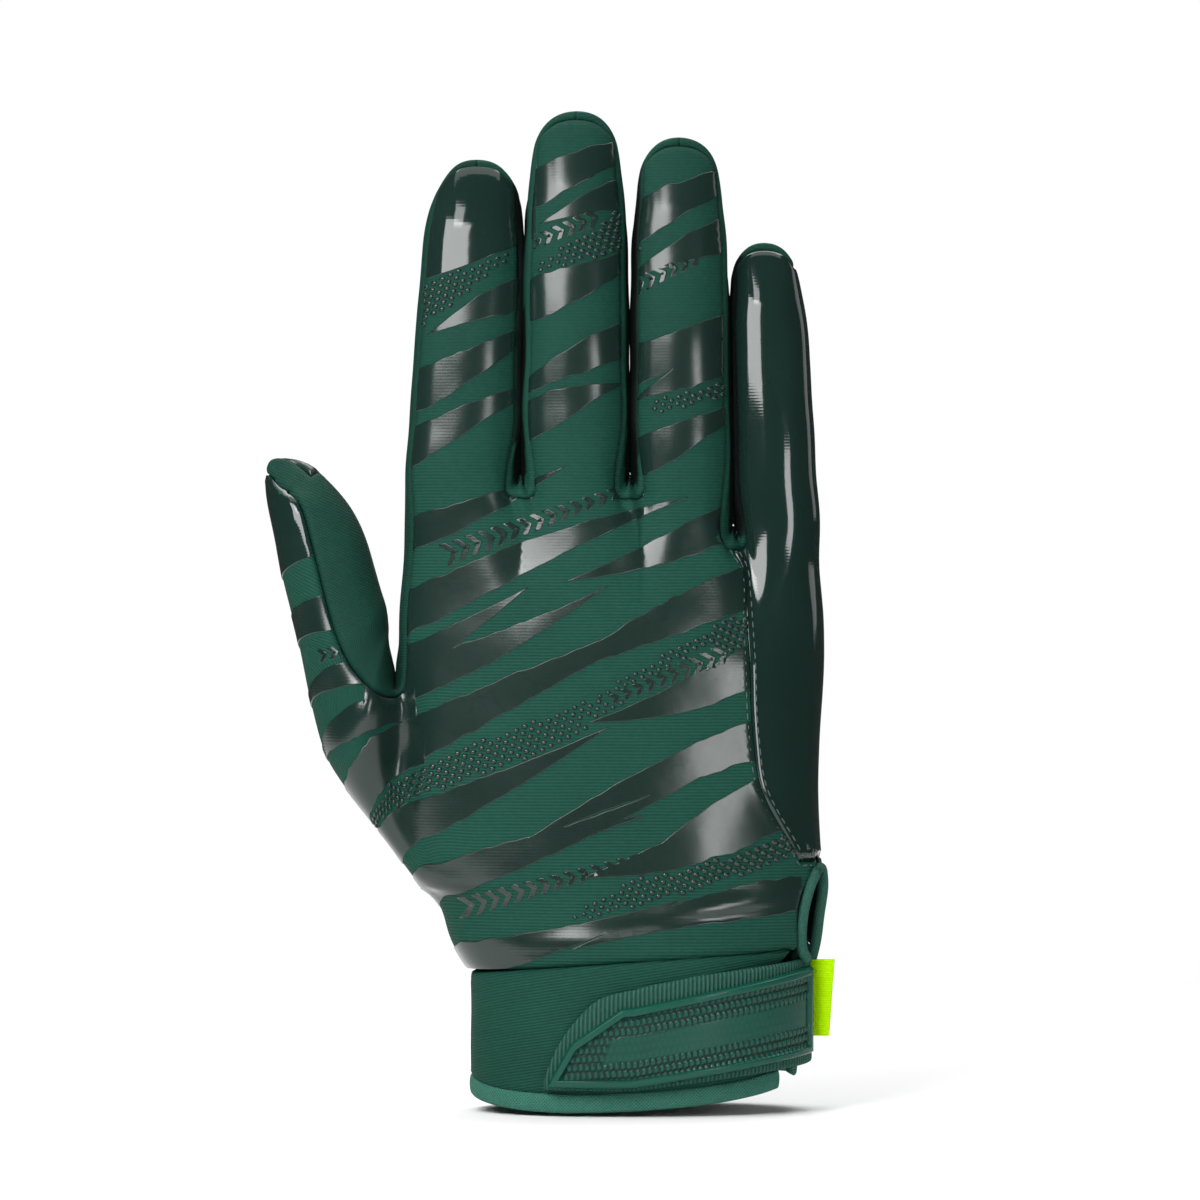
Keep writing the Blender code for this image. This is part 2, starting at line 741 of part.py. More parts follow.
def strap_low(x):
    """Height of the strap's lower line: level at its pointed end, rising towards the slit."""
    return STRAP_LOW + STRAP_SLOPE * max(x - CUFF_CENTRE, 0.0)


def strip_skin(tag, path, columns, bands):
    """A strip along a strap path. Bands are shares between its lower and upper edges, each
    with how far it stands off the path."""
    skin = Skin()
    for number, column in enumerate(columns):
        distance = column.along * STRAP_HEIGHT
        point = path.at(distance)
        outward = path.outward(distance)
        base = strap_low(point.x)
        for row, (share, stand) in enumerate(bands):
            z = base + STRAP_HEIGHT * (column.low + (column.high - column.low) * share)
            spot = point + outward * stand
            skin.points[(row, number)] = Vector((spot.x, spot.y, z))
    for row in range(len(bands) - 1):
        for number in range(len(columns) - 1):
            skin.add(tag, (row, number), (row, number + 1), (row + 1, number + 1), (row + 1, number))
    return skin


STRAP_BAND_ROWS = ((0.0, 0.0), (0.06, 0.0), (0.5, 0.0), (0.94, 0.0), (1.0, 0.0))


def even_columns(first, last, steps):
    """Sections at even distances between two, with their edges changing evenly."""
    found = []
    for i in range(1, steps + 1):
        part = i / steps
        found.append(StripEnd(*(a + (b - a) * part for a, b in zip(first, last))))
    return found


def strap_columns(path):
    last = StripEnd(path.lengths[-1] / STRAP_HEIGHT, 0.0, 1.0)
    return list(STRAP_END) + even_columns(STRAP_END[-1], last, 18)


def badge_columns():
    return list(BADGE_END) + even_columns(BADGE_END[-1], BADGE_LAST, 7)


def linked_object(collection, name, mesh, material):
    """A mesh object in the glove's collection with one material."""
    obj = bpy.data.objects.new(name, mesh)
    obj.data.materials.append(material)
    collection.objects.link(obj)
    return obj


def shade_soft(obj, degrees=40):
    obj.data.shade_smooth()
    obj.data.set_sharp_from_angle(angle=math.radians(degrees))


def principled(name, colour, roughness, coat=0.0):
    material = bpy.data.materials.new(name)
    material.use_nodes = True
    shader = material.node_tree.nodes["Principled BSDF"]
    shader.inputs["Base Color"].default_value = (*colour, 1.0)
    shader.inputs["Roughness"].default_value = roughness
    shader.inputs["Metallic"].default_value = 0.0
    shader.inputs["Coat Weight"].default_value = coat
    material.diffuse_color = (*colour, 1.0)
    return material


def tube_mesh(name, route, radius, sides):
    """A closed round tube along a route of points."""
    rings = []
    side = Vector((0, 1, 0))
    for i, point in enumerate(route):
        ahead = (route[min(i + 1, len(route) - 1)] - route[max(i - 1, 0)]).normalized()
        side = (side - ahead * side.dot(ahead)).normalized()
        other = ahead.cross(side)
        turns = [2 * math.pi * k / sides for k in range(sides)]
        rings.append([point + (side * math.cos(t) + other * math.sin(t)) * radius for t in turns])
    points = [tuple(point) for ring in rings for point in ring]
    faces = []
    for i in range(len(rings) - 1):
        for k in range(sides):
            after = (k + 1) % sides
            faces.append((i * sides + k, i * sides + after, (i + 1) * sides + after, (i + 1) * sides + k))
    last = (len(rings) - 1) * sides
    faces.append(tuple(reversed(range(sides))))
    faces.append(tuple(last + k for k in range(sides)))
    mesh = bpy.data.meshes.new(name)
    mesh.from_pydata(points, [], faces)
    mesh.validate()
    return mesh


def slit_tape_route(skin):
    """The middle of the tape bead: up the slit's front edge and down its back edge."""
    last = PALM_COLUMNS - 1
    clear = TAPE_RADIUS + SEAM_GAP * 2
    front, back = [], []
    for row in range(SLIT_TOP_ROW + 1, len(PALM_ROWS)):
        a = skin.points[palm_key(row, "d", last)]
        b = skin.points[palm_key(row, "w", 1)]
        across = (b - a).normalized()
        front.append(a + across * clear)
        back.append(b - across * clear)
    top = (skin.points[palm_key(SLIT_TOP_ROW, "d", last)] + skin.points[palm_key(SLIT_TOP_ROW, "w", 1)]) / 2
    top.z -= clear * 1.15
    shoulders = []
    for foot in (front[0], back[0]):
        spot = foot.lerp(top, 0.45)
        spot.z = foot.z + (top.z - foot.z) * 0.82
        shoulders.append(spot)
    for side in (front, back):
        side[-1].z += SEAM_GAP
    return front[::-1] + [shoulders[0], top, shoulders[1]] + back


def make_tag(collection, path, material):
    """A small blank label sewn at the badge's end, standing out past the little finger's side."""
    distance = BADGE_LAST.along * STRAP_HEIGHT + TAG_WALL
    point = path.at(distance)
    bm = bmesh.new()
    bmesh.ops.create_cube(bm, size=1.0)
    bmesh.ops.scale(bm, vec=(TAG_WIDTH, TAG_WALL, TAG_HEIGHT), verts=bm.verts)
    bmesh.ops.bevel(bm, geom=bm.edges[:], offset=TAG_WALL * 0.2, segments=1, affect="EDGES")
    mesh = bpy.data.meshes.new("side_tag")
    bm.to_mesh(mesh)
    bm.free()
    obj = linked_object(collection, "side_tag", mesh, material)
    z = strap_low(point.x) + STRAP_HEIGHT * 0.62
    reach = TAG_WIDTH / 2 + SEAM_GAP * 3
    obj.location = (point.x + reach, point.y, z)
    obj.rotation_euler = (0.0, math.radians(4.0), 0.0)
    return obj


def main():
    for obj in list(bpy.data.objects):
        bpy.data.objects.remove(obj)
    collection = bpy.data.collections.new("football_glove")
    bpy.context.scene.collection.children.link(collection)

    knit = principled("green_knit", (0.022, 0.090, 0.062), 0.75)
    film = principled("dark_gloss", (0.010, 0.025, 0.020), 0.16, coat=0.6)
    grip = principled("palm_grip", (0.012, 0.028, 0.023), 0.32)
    tape = principled("tape", (0.026, 0.105, 0.074), 0.85)
    rubber = principled("badge_rubber", (0.006, 0.066, 0.043), 0.35)
    lime = principled("lime_label", (0.29, 0.52, 0.004), 0.6)

    glove = glove_skin()
    looks = {
        "back_panel": knit,
        "pinky_panel": film,
        "palm_panel": grip,
        "fourchette_thumb_index": knit,
        "fourchette_index_middle": knit,
        "fourchette_middle_ring": knit,
        "fourchette_ring_pinky": knit,
    }
    for name, material in looks.items():
        mesh = wall_mesh(name, glove, name, SHELL_WALL)
        shade_soft(linked_object(collection, name, mesh, material))

    cuff = cuff_skin()
    for name, wall, material in (("cuff_band", CUFF_WALL, knit), ("cuff_hem", HEM_WALL, tape)):
        mesh = wall_mesh(name, cuff, name, wall)
        shade_soft(linked_object(collection, name, mesh, material))

    strap_off = CUFF_PROUD + HEM_PROUD + SEAM_GAP + STRAP_WALL
    strap_path = StrapPath(strap_off)
    strap = strip_skin("wrist_strap", strap_path, strap_columns(strap_path), STRAP_BAND_ROWS)
    mesh = wall_mesh("wrist_strap", strap, "wrist_strap", STRAP_WALL)
    shade_soft(linked_object(collection, "wrist_strap", mesh, tape))

    badge_path = StrapPath(strap_off + SEAM_GAP + BADGE_WALL)
    edge = BADGE_FRAME / STRAP_HEIGHT
    rise = BADGE_FRAME_RISE
    bands = ((0.0, 0.0), (edge * 0.3, rise), (edge, rise), (edge * 1.4, 0.0), (0.5, 0.0),
             (1 - edge * 1.4, 0.0), (1 - edge, rise), (1 - edge * 0.3, rise), (1.0, 0.0))
    badge = strip_skin("strap_badge", badge_path, badge_columns(), bands)
    mesh = wall_mesh("strap_badge", badge, "strap_badge", BADGE_WALL)
    shade_soft(linked_object(collection, "strap_badge", mesh, rubber))

    mesh = tube_mesh("slit_tape", slit_tape_route(glove), TAPE_RADIUS, 10)
    shade_soft(linked_object(collection, "slit_tape", mesh, tape))
    make_tag(collection, strap_path, lime)


main()
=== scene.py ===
"""The looks of the football glove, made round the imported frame: knitted and glossy panels with a
raised film print, a ribbed slit cuff with its bound edge, a strap with a moulded badge, and a
blank label. Metres and +Z up, as in the frame. Plan coordinates are millimetres: across and up
the back of the hand, and how far along the knit's ribs."""

import math
from typing import NamedTuple

import bpy
import numpy as np
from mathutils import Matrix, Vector, noise
from mathutils.bvhtree import BVHTree
from mathutils.geometry import delaunay_2d_cdt
from mathutils.kdtree import KDTree


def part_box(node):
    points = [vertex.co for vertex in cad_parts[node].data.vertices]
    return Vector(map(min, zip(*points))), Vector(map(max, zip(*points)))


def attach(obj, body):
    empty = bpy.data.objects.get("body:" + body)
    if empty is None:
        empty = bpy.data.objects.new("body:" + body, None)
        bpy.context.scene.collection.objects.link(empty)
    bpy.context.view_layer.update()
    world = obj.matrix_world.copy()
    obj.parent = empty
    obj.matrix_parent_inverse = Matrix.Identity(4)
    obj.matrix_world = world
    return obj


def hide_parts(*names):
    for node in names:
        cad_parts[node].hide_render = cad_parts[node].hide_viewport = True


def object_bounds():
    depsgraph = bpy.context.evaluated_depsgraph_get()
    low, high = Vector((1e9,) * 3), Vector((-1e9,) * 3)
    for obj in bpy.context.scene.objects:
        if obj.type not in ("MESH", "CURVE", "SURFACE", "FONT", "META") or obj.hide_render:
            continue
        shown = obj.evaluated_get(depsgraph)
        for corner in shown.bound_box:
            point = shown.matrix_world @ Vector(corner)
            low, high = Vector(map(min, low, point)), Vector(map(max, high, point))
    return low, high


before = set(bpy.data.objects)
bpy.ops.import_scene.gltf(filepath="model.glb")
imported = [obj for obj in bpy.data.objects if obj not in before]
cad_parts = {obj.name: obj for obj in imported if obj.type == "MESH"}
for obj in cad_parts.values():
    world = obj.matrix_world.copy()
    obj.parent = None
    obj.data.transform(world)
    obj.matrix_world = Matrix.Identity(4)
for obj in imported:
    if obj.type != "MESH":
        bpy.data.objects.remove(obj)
CAD_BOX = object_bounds()

MM = 0.001

# Walls and seams
SHELL_WALL = 0.0013
CUFF_WALL = 0.0017
HEM_WALL = 0.0026
STRAP_WALL = 0.0016
SEAM_GAP = 0.0003

# Hand layout
HAND_WIDTH = 0.0975
WEB_GAP = 0.0007
FINGER_LENGTH = 0.0853
FINGER_DEPTH = 0.0226
PALM_LENGTH = 0.1130
PALM_DEPTH = 0.0420
KNUCKLE_SHARE_LEFT = 0.5503
WEB_DEPTH = 0.0075
PINKY_WEB_DROP = 0.0120
# Where the roots start to fall towards the little finger, and over how much, as shares of
# HAND_WIDTH
PINKY_FALL_START = 0.62
PINKY_FALL_OVER = 0.17
# How far the seam points beside a web sink, as a share of WEB_DEPTH; then, for the web's points
# at the back, saddle and palm, their height as shares of WEB_DEPTH and their depth as shares of
# the fingers' half depth
WEB_SEAM_SINK = 0.40
WEB_HEIGHTS = {"d": -0.60, "w": 0.10, "p": -0.45}
WEB_REACH = {"d": -0.75, "w": 0.0, "p": 0.75}
# Across the hand: how flat the middle is, how round the sides, how far in the outer columns
# stand as a share of the width, and where the edges lie in depth as a share of PALM_DEPTH
CROWN_FLAT = 2.4
CROWN_ROUND = 2.2
EDGE_INSET = 0.020
EDGE_DEPTH = 0.02

# Thumb
THUMB_LENGTH = 0.0752
THUMB_WIDTH = 0.0208
THUMB_DEPTH = 0.0236

# Cuff
CUFF_WIDTH = 0.0760
CUFF_DEPTH = 0.0500
CUFF_HEIGHT = 0.0298
CUFF_SEAM_SLOPE = 0.074
CUFF_CENTRE = -0.0013
CUFF_ROUNDNESS = 2.3
CUFF_PROUD = 0.0003
HEM_HEIGHT = 0.0052
HEM_PROUD = 0.0002
FRONT_DROP = 0.0050
FRONT_DROP_POWER = 1.3
RIM_SLOPE = 0.056
CUFF_FLARE = 0.0042
SLIT_FRONT = 0.0132
SLIT_BACK = 0.0034

# Strap, badge, slit tape and tag
STRAP_HEIGHT = 0.0248
STRAP_FRONT_REACH = 0.0199
STRAP_BACK_REACH = 0.0150
STRAP_SLACK = 0.0016
STRAP_LOW = 0.0002
STRAP_SLOPE = 0.125
BADGE_WALL = 0.0010
BADGE_FRAME = 0.0020
BADGE_FRAME_RISE = 0.0006
TAPE_RADIUS = 0.0013


class FingerShape(NamedTuple):
    """One finger, as shares of the named sizes until real_finger makes it metres."""

    name: str
    width: float
    depth: float
    length: float
    lean: float
    taper: float
    curl: float
    forward: float


FINGER_SHAPES = (
    FingerShape("index", 0.281, 0.982, 0.870, 0.128, 0.09, 0.177, -0.066),
    FingerShape("middle", 0.261, 1.000, 1.000, 0.008, 0.02, 0.177, -0.111),
    FingerShape("ring", 0.248, 0.938, 0.966, -0.020, 0.03, 0.186, -0.066),
    FingerShape("pinky", 0.210, 0.841, 0.782, -0.140, 0.06, 0.195, 0.066),
)


def real_finger(shape):
    width = shape.width * (HAND_WIDTH - WEB_GAP * 3)
    return FingerShape(shape.name, width, shape.depth * FINGER_DEPTH, shape.length * FINGER_LENGTH,
                       shape.lean * width, shape.taper, shape.curl * FINGER_DEPTH,
                       shape.forward * FINGER_DEPTH)


FINGERS = [real_finger(shape) for shape in FINGER_SHAPES]

# Across and deep are shares of a finger's half width and half depth.
FINGER_RING = {
    "d0": (-0.90, -0.52),
    "d1": (-0.52, -0.90),
    "d2": (0.00, -1.00),
    "d3": (0.52, -0.90),
    "d4": (0.90, -0.52),
    "wr": (1.00, 0.02),
    "p4": (0.86, 0.58),
    "p3": (0.48, 0.92),
    "p2": (0.00, 1.00),
    "p1": (-0.48, 0.92),
    "p0": (-0.86, 0.58),
    "wl": (-1.00, 0.02),
}

# The same at a finger's root, where it turns into a web. The seam runs wide round the web.
WEB_RING = {
    "d0": (-0.78, -0.64),
    "d4": (0.78, -0.64),
    "p0": (-0.76, 0.66),
    "p4": (0.76, 0.66),
}


class FingerRow(NamedTuple):
    """A section across a finger: shares of its length, width, depth and curl."""

    along: float
    wide: float
    deep: float
    curl: float


FINGER_ROWS = (
    FingerRow(0.00, 1.00, 1.00, 0.00),
    FingerRow(0.14, 1.00, 0.99, 0.02),
    FingerRow(0.30, 0.99, 0.97, 0.08),
    FingerRow(0.46, 0.985, 0.96, 0.20),
    FingerRow(0.61, 0.97, 0.92, 0.39),
    FingerRow(0.74, 0.945, 0.90, 0.59),
    FingerRow(0.84, 0.875, 0.83, 0.78),
)

# Across, deep and the drop below the tip, as shares of half width, half depth and TIP_CAP,
# which is a share of the finger's width.
TIP_CAP = 0.39
TIP_RING = {
    "d0": (-0.74, -0.34, 0.62),
    "d1": (-0.46, -0.40, 0.20),
    "d2": (0.00, -0.42, 0.06),
    "d3": (0.46, -0.40, 0.20),
    "d4": (0.74, -0.34, 0.62),
    "wr": (0.77, 0.00, 0.66),
    "p4": (0.70, 0.42, 0.74),
    "p3": (0.42, 0.60, 0.42),
    "p2": (0.00, 0.64, 0.28),
    "p1": (-0.42, 0.60, 0.42),
    "p0": (-0.70, 0.42, 0.74),
    "wl": (-0.77, 0.00, 0.66),
    "m1": (-0.42, 0.00, 0.17),
    "m2": (0.00, 0.00, 0.00),
    "m3": (0.42, 0.00, 0.17),
}


class PalmRow(NamedTuple):
    """A section across the hand: shares of PALM_LENGTH, of HAND_WIDTH or CUFF_WIDTH, and of
    PALM_DEPTH."""

    of: str
    down: float
    left: float
    seam: float
    right: float
    inset: float
    front: float
    back: float


PALM_ROWS = (
    PalmRow("hand", 0.100, -0.002, 0.818, 1.001, 0.020, -0.37, 0.30),
    PalmRow("hand", 0.210, -0.010, 0.824, 1.008, 0.020, -0.40, 0.36),
    PalmRow("hand", 0.320, -0.018, 0.828, 1.011, 0.020, -0.42, 0.41),
    PalmRow("hand", 0.430, -0.026, 0.832, 1.006, 0.020, -0.44, 0.46),
    PalmRow("hand", 0.545, -0.030, 0.842, 1.000, 0.020, -0.46, 0.50),
    PalmRow("hand", 0.660, -0.026, 0.874, 0.998, 0.020, -0.48, 0.51),
    PalmRow("hand", 0.795, 0.010, 0.950, 1.006, 0.012, -0.50, 0.49),
    PalmRow("cuff", 0.832, -0.152, 0.987, 1.094, 0.046, -0.51, 0.49),
    PalmRow("cuff", 0.868, -0.101, 0.949, 1.098, 0.074, -0.52, 0.50),
    PalmRow("cuff", 0.930, -0.069, 0.913, 1.086, 0.080, -0.55, 0.53),
    PalmRow("cuff", 1.000, -0.012, 0.878, 1.072, 0.067, -0.585, 0.58),
)
THUMB_TOP_ROW = 3
THUMB_LOW_ROW = 6
SLIT_TOP_ROW = 6
KNUCKLE_BLEND = (0.55, 0.22)


class ThumbRow(NamedTuple):
    """A section across the thumb: shares of its length, width and depth, tilt in degrees, and
    how far the ring has turned from its root to its own pose."""

    along: float
    out: float
    wide: float
    tilt: float
    deep: float
    set: float
    roll: float


THUMB_ROWS = (
    ThumbRow(0.169, 0.073, 1.73, 75.0, 1.22, 0.05, 0.38),
    ThumbRow(0.265, 0.118, 1.56, 61.9, 1.16, 0.10, 0.60),
    ThumbRow(0.386, 0.146, 1.29, 46.5, 1.10, 0.14, 0.86),
    ThumbRow(0.507, 0.173, 1.07, 28.0, 1.02, 0.18, 1.00),
    ThumbRow(0.628, 0.204, 1.03, 16.8, 1.00, 0.22, 1.00),
    ThumbRow(0.747, 0.235, 1.01, 4.5, 0.94, 0.26, 1.00),
    ThumbRow(0.862, 0.278, 0.88, 0.0, 0.80, 0.30, 1.00),
    ThumbRow(0.940, 0.317, 0.62, 2.0, 0.52, 0.33, 1.00),
)
THUMB_ROOT_OUT = -0.029
THUMB_ROOT_UP = 0.381
THUMB_TIP_OUT = 0.342
THUMB_ROOT_TURN = (-45, -15, 15, 50, 90, 130, 165, 195, 225, 270)
THUMB_TIP_TURN = (11, 42, 75, 108, 140, 172, 205, 240, 277, 320)
# The two points on top of the tip: how far towards -X, in half widths, and how far down, in
# tenths of THUMB_LENGTH. Both are moved towards +X by THUMB_MID_SHIFT first.
THUMB_MIDS = ((0.0, 0.12), (0.42, 0.12))
THUMB_MID_SHIFT = 0.16
# How far the last ring's points hang below it, as shares of THUMB_WIDTH.
THUMB_TIP_SAG = (0.16, 0.05, 0.0, 0.0, 0.08, 0.0, 0.0, 0.0, 0.0, 0.0)


class StripEnd(NamedTuple):
    """A section of the strap or badge, as shares of STRAP_HEIGHT: the distance from the
    strap's point, and the lower and upper edges above the strap's lower line."""

    along: float
    low: float
    high: float


STRAP_END = (
    StripEnd(0.00, 0.00, 0.10),
    StripEnd(0.04, 0.00, 0.20),
    StripEnd(0.14, 0.00, 0.42),
    StripEnd(0.29, 0.00, 0.63),
    StripEnd(0.49, 0.00, 0.83),
    StripEnd(0.69, 0.00, 0.91),
    StripEnd(0.99, 0.00, 0.965),
    StripEnd(1.45, 0.00, 1.00),
)
BADGE_CORNERS = (
    StripEnd(0.065, 0.02, 0.05),
    StripEnd(0.29, 0.02, 0.44),
    StripEnd(0.77, 0.02, 0.775),
    StripEnd(1.73, 0.05, 0.85),
    StripEnd(2.85, 0.10, 0.93),
)

PALM_COLUMNS = 23
SEAM_COLUMN = 17

# Skin refinement: each face of the cage becomes 4 to the power of this many.
SKIN_LEVEL = 3


def knuckle_left():
    return -KNUCKLE_SHARE_LEFT * HAND_WIDTH + CUFF_CENTRE


def cuff_seam_z(x):
    return CUFF_HEIGHT + CUFF_SEAM_SLOPE * (x - CUFF_CENTRE)


def finger_roots():
    """The x of each finger's centre, and of each web, at the knuckles."""
    left = knuckle_left()
    centres = []
    webs = []
    for finger in FINGERS:
        centres.append(left + finger.width / 2)
        left += finger.width
        webs.append(left + WEB_GAP / 2)
        left += WEB_GAP
    return centres, webs[:-1]


def root_z(x):
    """Height of the finger roots: level, then falling towards the little finger."""
    across = (x - knuckle_left()) / HAND_WIDTH
    fall = min(max((across - PINKY_FALL_START) / PINKY_FALL_OVER, 0.0), 1.0)
    return CUFF_HEIGHT + PALM_LENGTH - PINKY_WEB_DROP * fall


def finger_point(number, row, column):
    """A point of a finger's ring, or of its tip ring when row is None."""
    finger = FINGERS[number]
    centre = finger_roots()[0][number]
    half_wide = finger.width / 2
    half_deep = finger.depth / 2
    if row is None:
        across, deep, drop = TIP_RING[column]
        wide = half_wide * (1 - finger.taper)
        x = centre + finger.lean + across * wide
        z = root_z(centre) + finger.length - drop * TIP_CAP * finger.width
        return Vector((x, finger.forward + finger.curl + deep * half_deep, z))
    section = FINGER_ROWS[row]
    across, deep = FINGER_RING[column]
    root = root_z(centre + across * half_wide)
    meets_web = number > 0 if column[1] == "0" else number < len(FINGERS) - 1
    if row == 0 and column in WEB_RING and meets_web:
        across, deep = WEB_RING[column]
        root -= WEB_DEPTH * WEB_SEAM_SINK
    wide = half_wide * section.wide * (1 - finger.taper * section.along)
    x = centre + finger.lean * section.along + across * wide
    y = finger.forward + finger.curl * section.curl + deep * half_deep * section.deep
    top = root_z(centre) + finger.length
    return Vector((x, y, root + (top - root) * section.along))


def crown(share):
    """Depth of the hand across its width: nearly flat, rounding off at both sides."""
    return (1 - min(abs(share), 1.0) ** CROWN_FLAT) ** (1 / CROWN_ROUND)


def palm_column_share(column):
    """Where a column stands across the knuckles."""
    centres, webs = finger_roots()
    number, place = divmod(column, 6)
    if place == 5:
        x = webs[number]
    else:
        x = centres[number] + FINGER_RING[f"d{place}"][0] * FINGERS[number].width / 2
    return (x - knuckle_left()) / HAND_WIDTH


def palm_point(row, side, column):
    """A point of the hand's section. Side is d for the back of the hand, p for the palm, and
    w for the two edges, where column 0 is the thumb side and column 1 the other."""
    section = PALM_ROWS[row]
    if section.of == "cuff":
        left_x, width = CUFF_CENTRE - CUFF_WIDTH / 2, CUFF_WIDTH
    else:
        left_x, width = knuckle_left(), HAND_WIDTH
    low = left_x + section.left * width
    high = left_x + section.right * width
    middle = (low + high) / 2
    if side == "w":
        x = high if column else low
        y = EDGE_DEPTH * PALM_DEPTH
        if column and row > SLIT_TOP_ROW:
            y = -SLIT_BACK * min((row - SLIT_TOP_ROW) / 2, 1.0)
    else:
        first = palm_column_share(0)
        seam = palm_column_share(SEAM_COLUMN)
        last = palm_column_share(PALM_COLUMNS - 1)
        share = palm_column_share(column)
        inner_low = low + EDGE_INSET * width
        inner_high = high - (section.inset if side == "d" else EDGE_INSET) * width
        seam_x = left_x + section.seam * width
        if column <= SEAM_COLUMN:
            x = inner_low + (seam_x - inner_low) * (share - first) / (seam - first)
        else:
            x = seam_x + (inner_high - seam_x) * (share - seam) / (last - seam)
        deep = section.front if side == "d" else section.back
        y = deep * PALM_DEPTH * crown((x - middle) / ((high - low) / 2))
    if row < len(KNUCKLE_BLEND) and side != "w":
        number, place = divmod(column, 6)
        if place < 5:
            finger_y = finger_point(number, 0, f"{side}{place}").y
        else:
            before = finger_point(number, 0, f"{side}4").y
            after = finger_point(number + 1, 0, f"{side}0").y
            finger_y = (before + after) / 2
        y += KNUCKLE_BLEND[row] * (finger_y - y)
    top = root_z(x)
    bottom = cuff_seam_z(x) + SEAM_GAP / 2
    return Vector((x, y, top + (bottom - top) * section.down))


def web_point(number, side):
    """The bottom of the gap between two fingers, at its back, palm or saddle."""
    _, webs = finger_roots()
    deep = (FINGERS[number].depth + FINGERS[number + 1].depth) / 4
    forward = (FINGERS[number].forward + FINGERS[number + 1].forward) / 2
    x = webs[number]
    z = root_z(x) + WEB_DEPTH * WEB_HEIGHTS[side]
    return Vector((x, forward + deep * WEB_REACH[side], z))


def thumb_root():
    return Vector((knuckle_left() + THUMB_ROOT_OUT * HAND_WIDTH, 0.0,
                   CUFF_HEIGHT + PALM_LENGTH * THUMB_ROOT_UP))


def thumb_point(row, place):
    """A point of the thumb's ring. Place counts from the front seam round its outer side."""
    section = THUMB_ROWS[row]
    centre = thumb_root() + Vector((-section.out, 0.0, section.along)) * THUMB_LENGTH
    centre.y = section.set * THUMB_DEPTH
    if row == len(THUMB_ROWS) - 1:
        centre.z -= THUMB_TIP_SAG[place] * THUMB_WIDTH
    tilt = math.radians(section.tilt)
    along = Vector((math.cos(tilt), 0.0, math.sin(tilt)))
    start = THUMB_ROOT_TURN[place]
    turn = math.radians(start + (THUMB_TIP_TURN[place] - start) * section.roll)
    wide = section.wide * THUMB_WIDTH / 2
    deep = section.deep * THUMB_DEPTH / 2
    return centre - along * math.sin(turn) * wide - Vector((0, math.cos(turn) * deep, 0))


def thumb_tip_point(number):
    last = THUMB_ROWS[-1]
    inward, drop = THUMB_MIDS[number]
    root = thumb_root()
    x = root.x - THUMB_TIP_OUT * THUMB_LENGTH + (THUMB_MID_SHIFT - inward) * THUMB_WIDTH / 2
    return Vector((x, last.set * THUMB_DEPTH, root.z + THUMB_LENGTH * (1 - drop * 0.10)))


def placed(name, data):
    """A new object in the scene."""
    obj = bpy.data.objects.new(name, data)
    bpy.context.scene.collection.objects.link(obj)
    return obj


class Skin:
    """An outer surface as named points and four-sided faces, each face tagged with its piece."""

    def __init__(self):
        self.points = {}
        self.faces = []

    def add(self, piece, *keys):
        self.faces.append((piece, keys))


def finger_key(number, row, column):
    return ("finger", number, row, column)


def palm_key(row, side, column):
    """Row -1 is the row of finger roots and webs."""
    if row >= 0:
        return ("palm", row, side, column)
    if side == "w":
        return finger_key(3, 0, "wr") if column else finger_key(0, 0, "wl")
    number, place = divmod(column, 6)
    if place == 5:
        return ("web", number, side)
    return finger_key(number, 0, f"{side}{place}")


def thumb_key(row, place):
    """Row -1 is the edge of the thumb's hole in the side of the hand."""
    if row >= 0:
        return ("thumb", row, place)
    top, low = THUMB_TOP_ROW, THUMB_LOW_ROW
    front = [palm_key(r, "d", 0) for r in range(top, low + 1)]
    back = [palm_key(r, "p", 0) for r in range(low, top - 1, -1)]
    return (front + [palm_key(low, "w", 0)] + back + [palm_key(top, "w", 0)])[place]


def add_fingers(skin):
    ring = list(FINGER_RING)
    fourchettes = ("fourchette_thumb_index", "fourchette_index_middle",
                   "fourchette_middle_ring", "fourchette_ring_pinky", "pinky_panel")
    rows = list(range(len(FINGER_ROWS))) + [None]
    for number in range(len(FINGERS)):
        for row in rows:
            for column in ring:
                skin.points[finger_key(number, row, column)] = finger_point(number, row, column)
        for column in ("m1", "m2", "m3"):
            skin.points[finger_key(number, None, column)] = finger_point(number, None, column)
        back = "pinky_panel" if number == 3 else "back_panel"
        left, right = fourchettes[number], fourchettes[number + 1]
        pieces = [back] * 4 + [right] * 2 + ["palm_panel"] * 4 + [left] * 2
        for low, high in zip(rows, rows[1:]):
            for place, piece in enumerate(pieces):
                a, b = ring[place], ring[(place + 1) % len(ring)]
                skin.add(piece, finger_key(number, low, a), finger_key(number, low, b),
                         finger_key(number, high, b), finger_key(number, high, a))
        tip_right = left if number == 3 else right
        middle = ("wl", "m1", "m2", "m3", "wr")
        for place in range(4):
            piece = left if place < 2 else tip_right
            front = [finger_key(number, None, f"d{place + i}") for i in (0, 1)]
            behind = [finger_key(number, None, f"p{place + i}") for i in (0, 1)]
            a = finger_key(number, None, middle[place])
            b = finger_key(number, None, middle[place + 1])
            skin.add(piece, front[0], front[1], b, a)
            skin.add(piece, a, b, behind[1], behind[0])


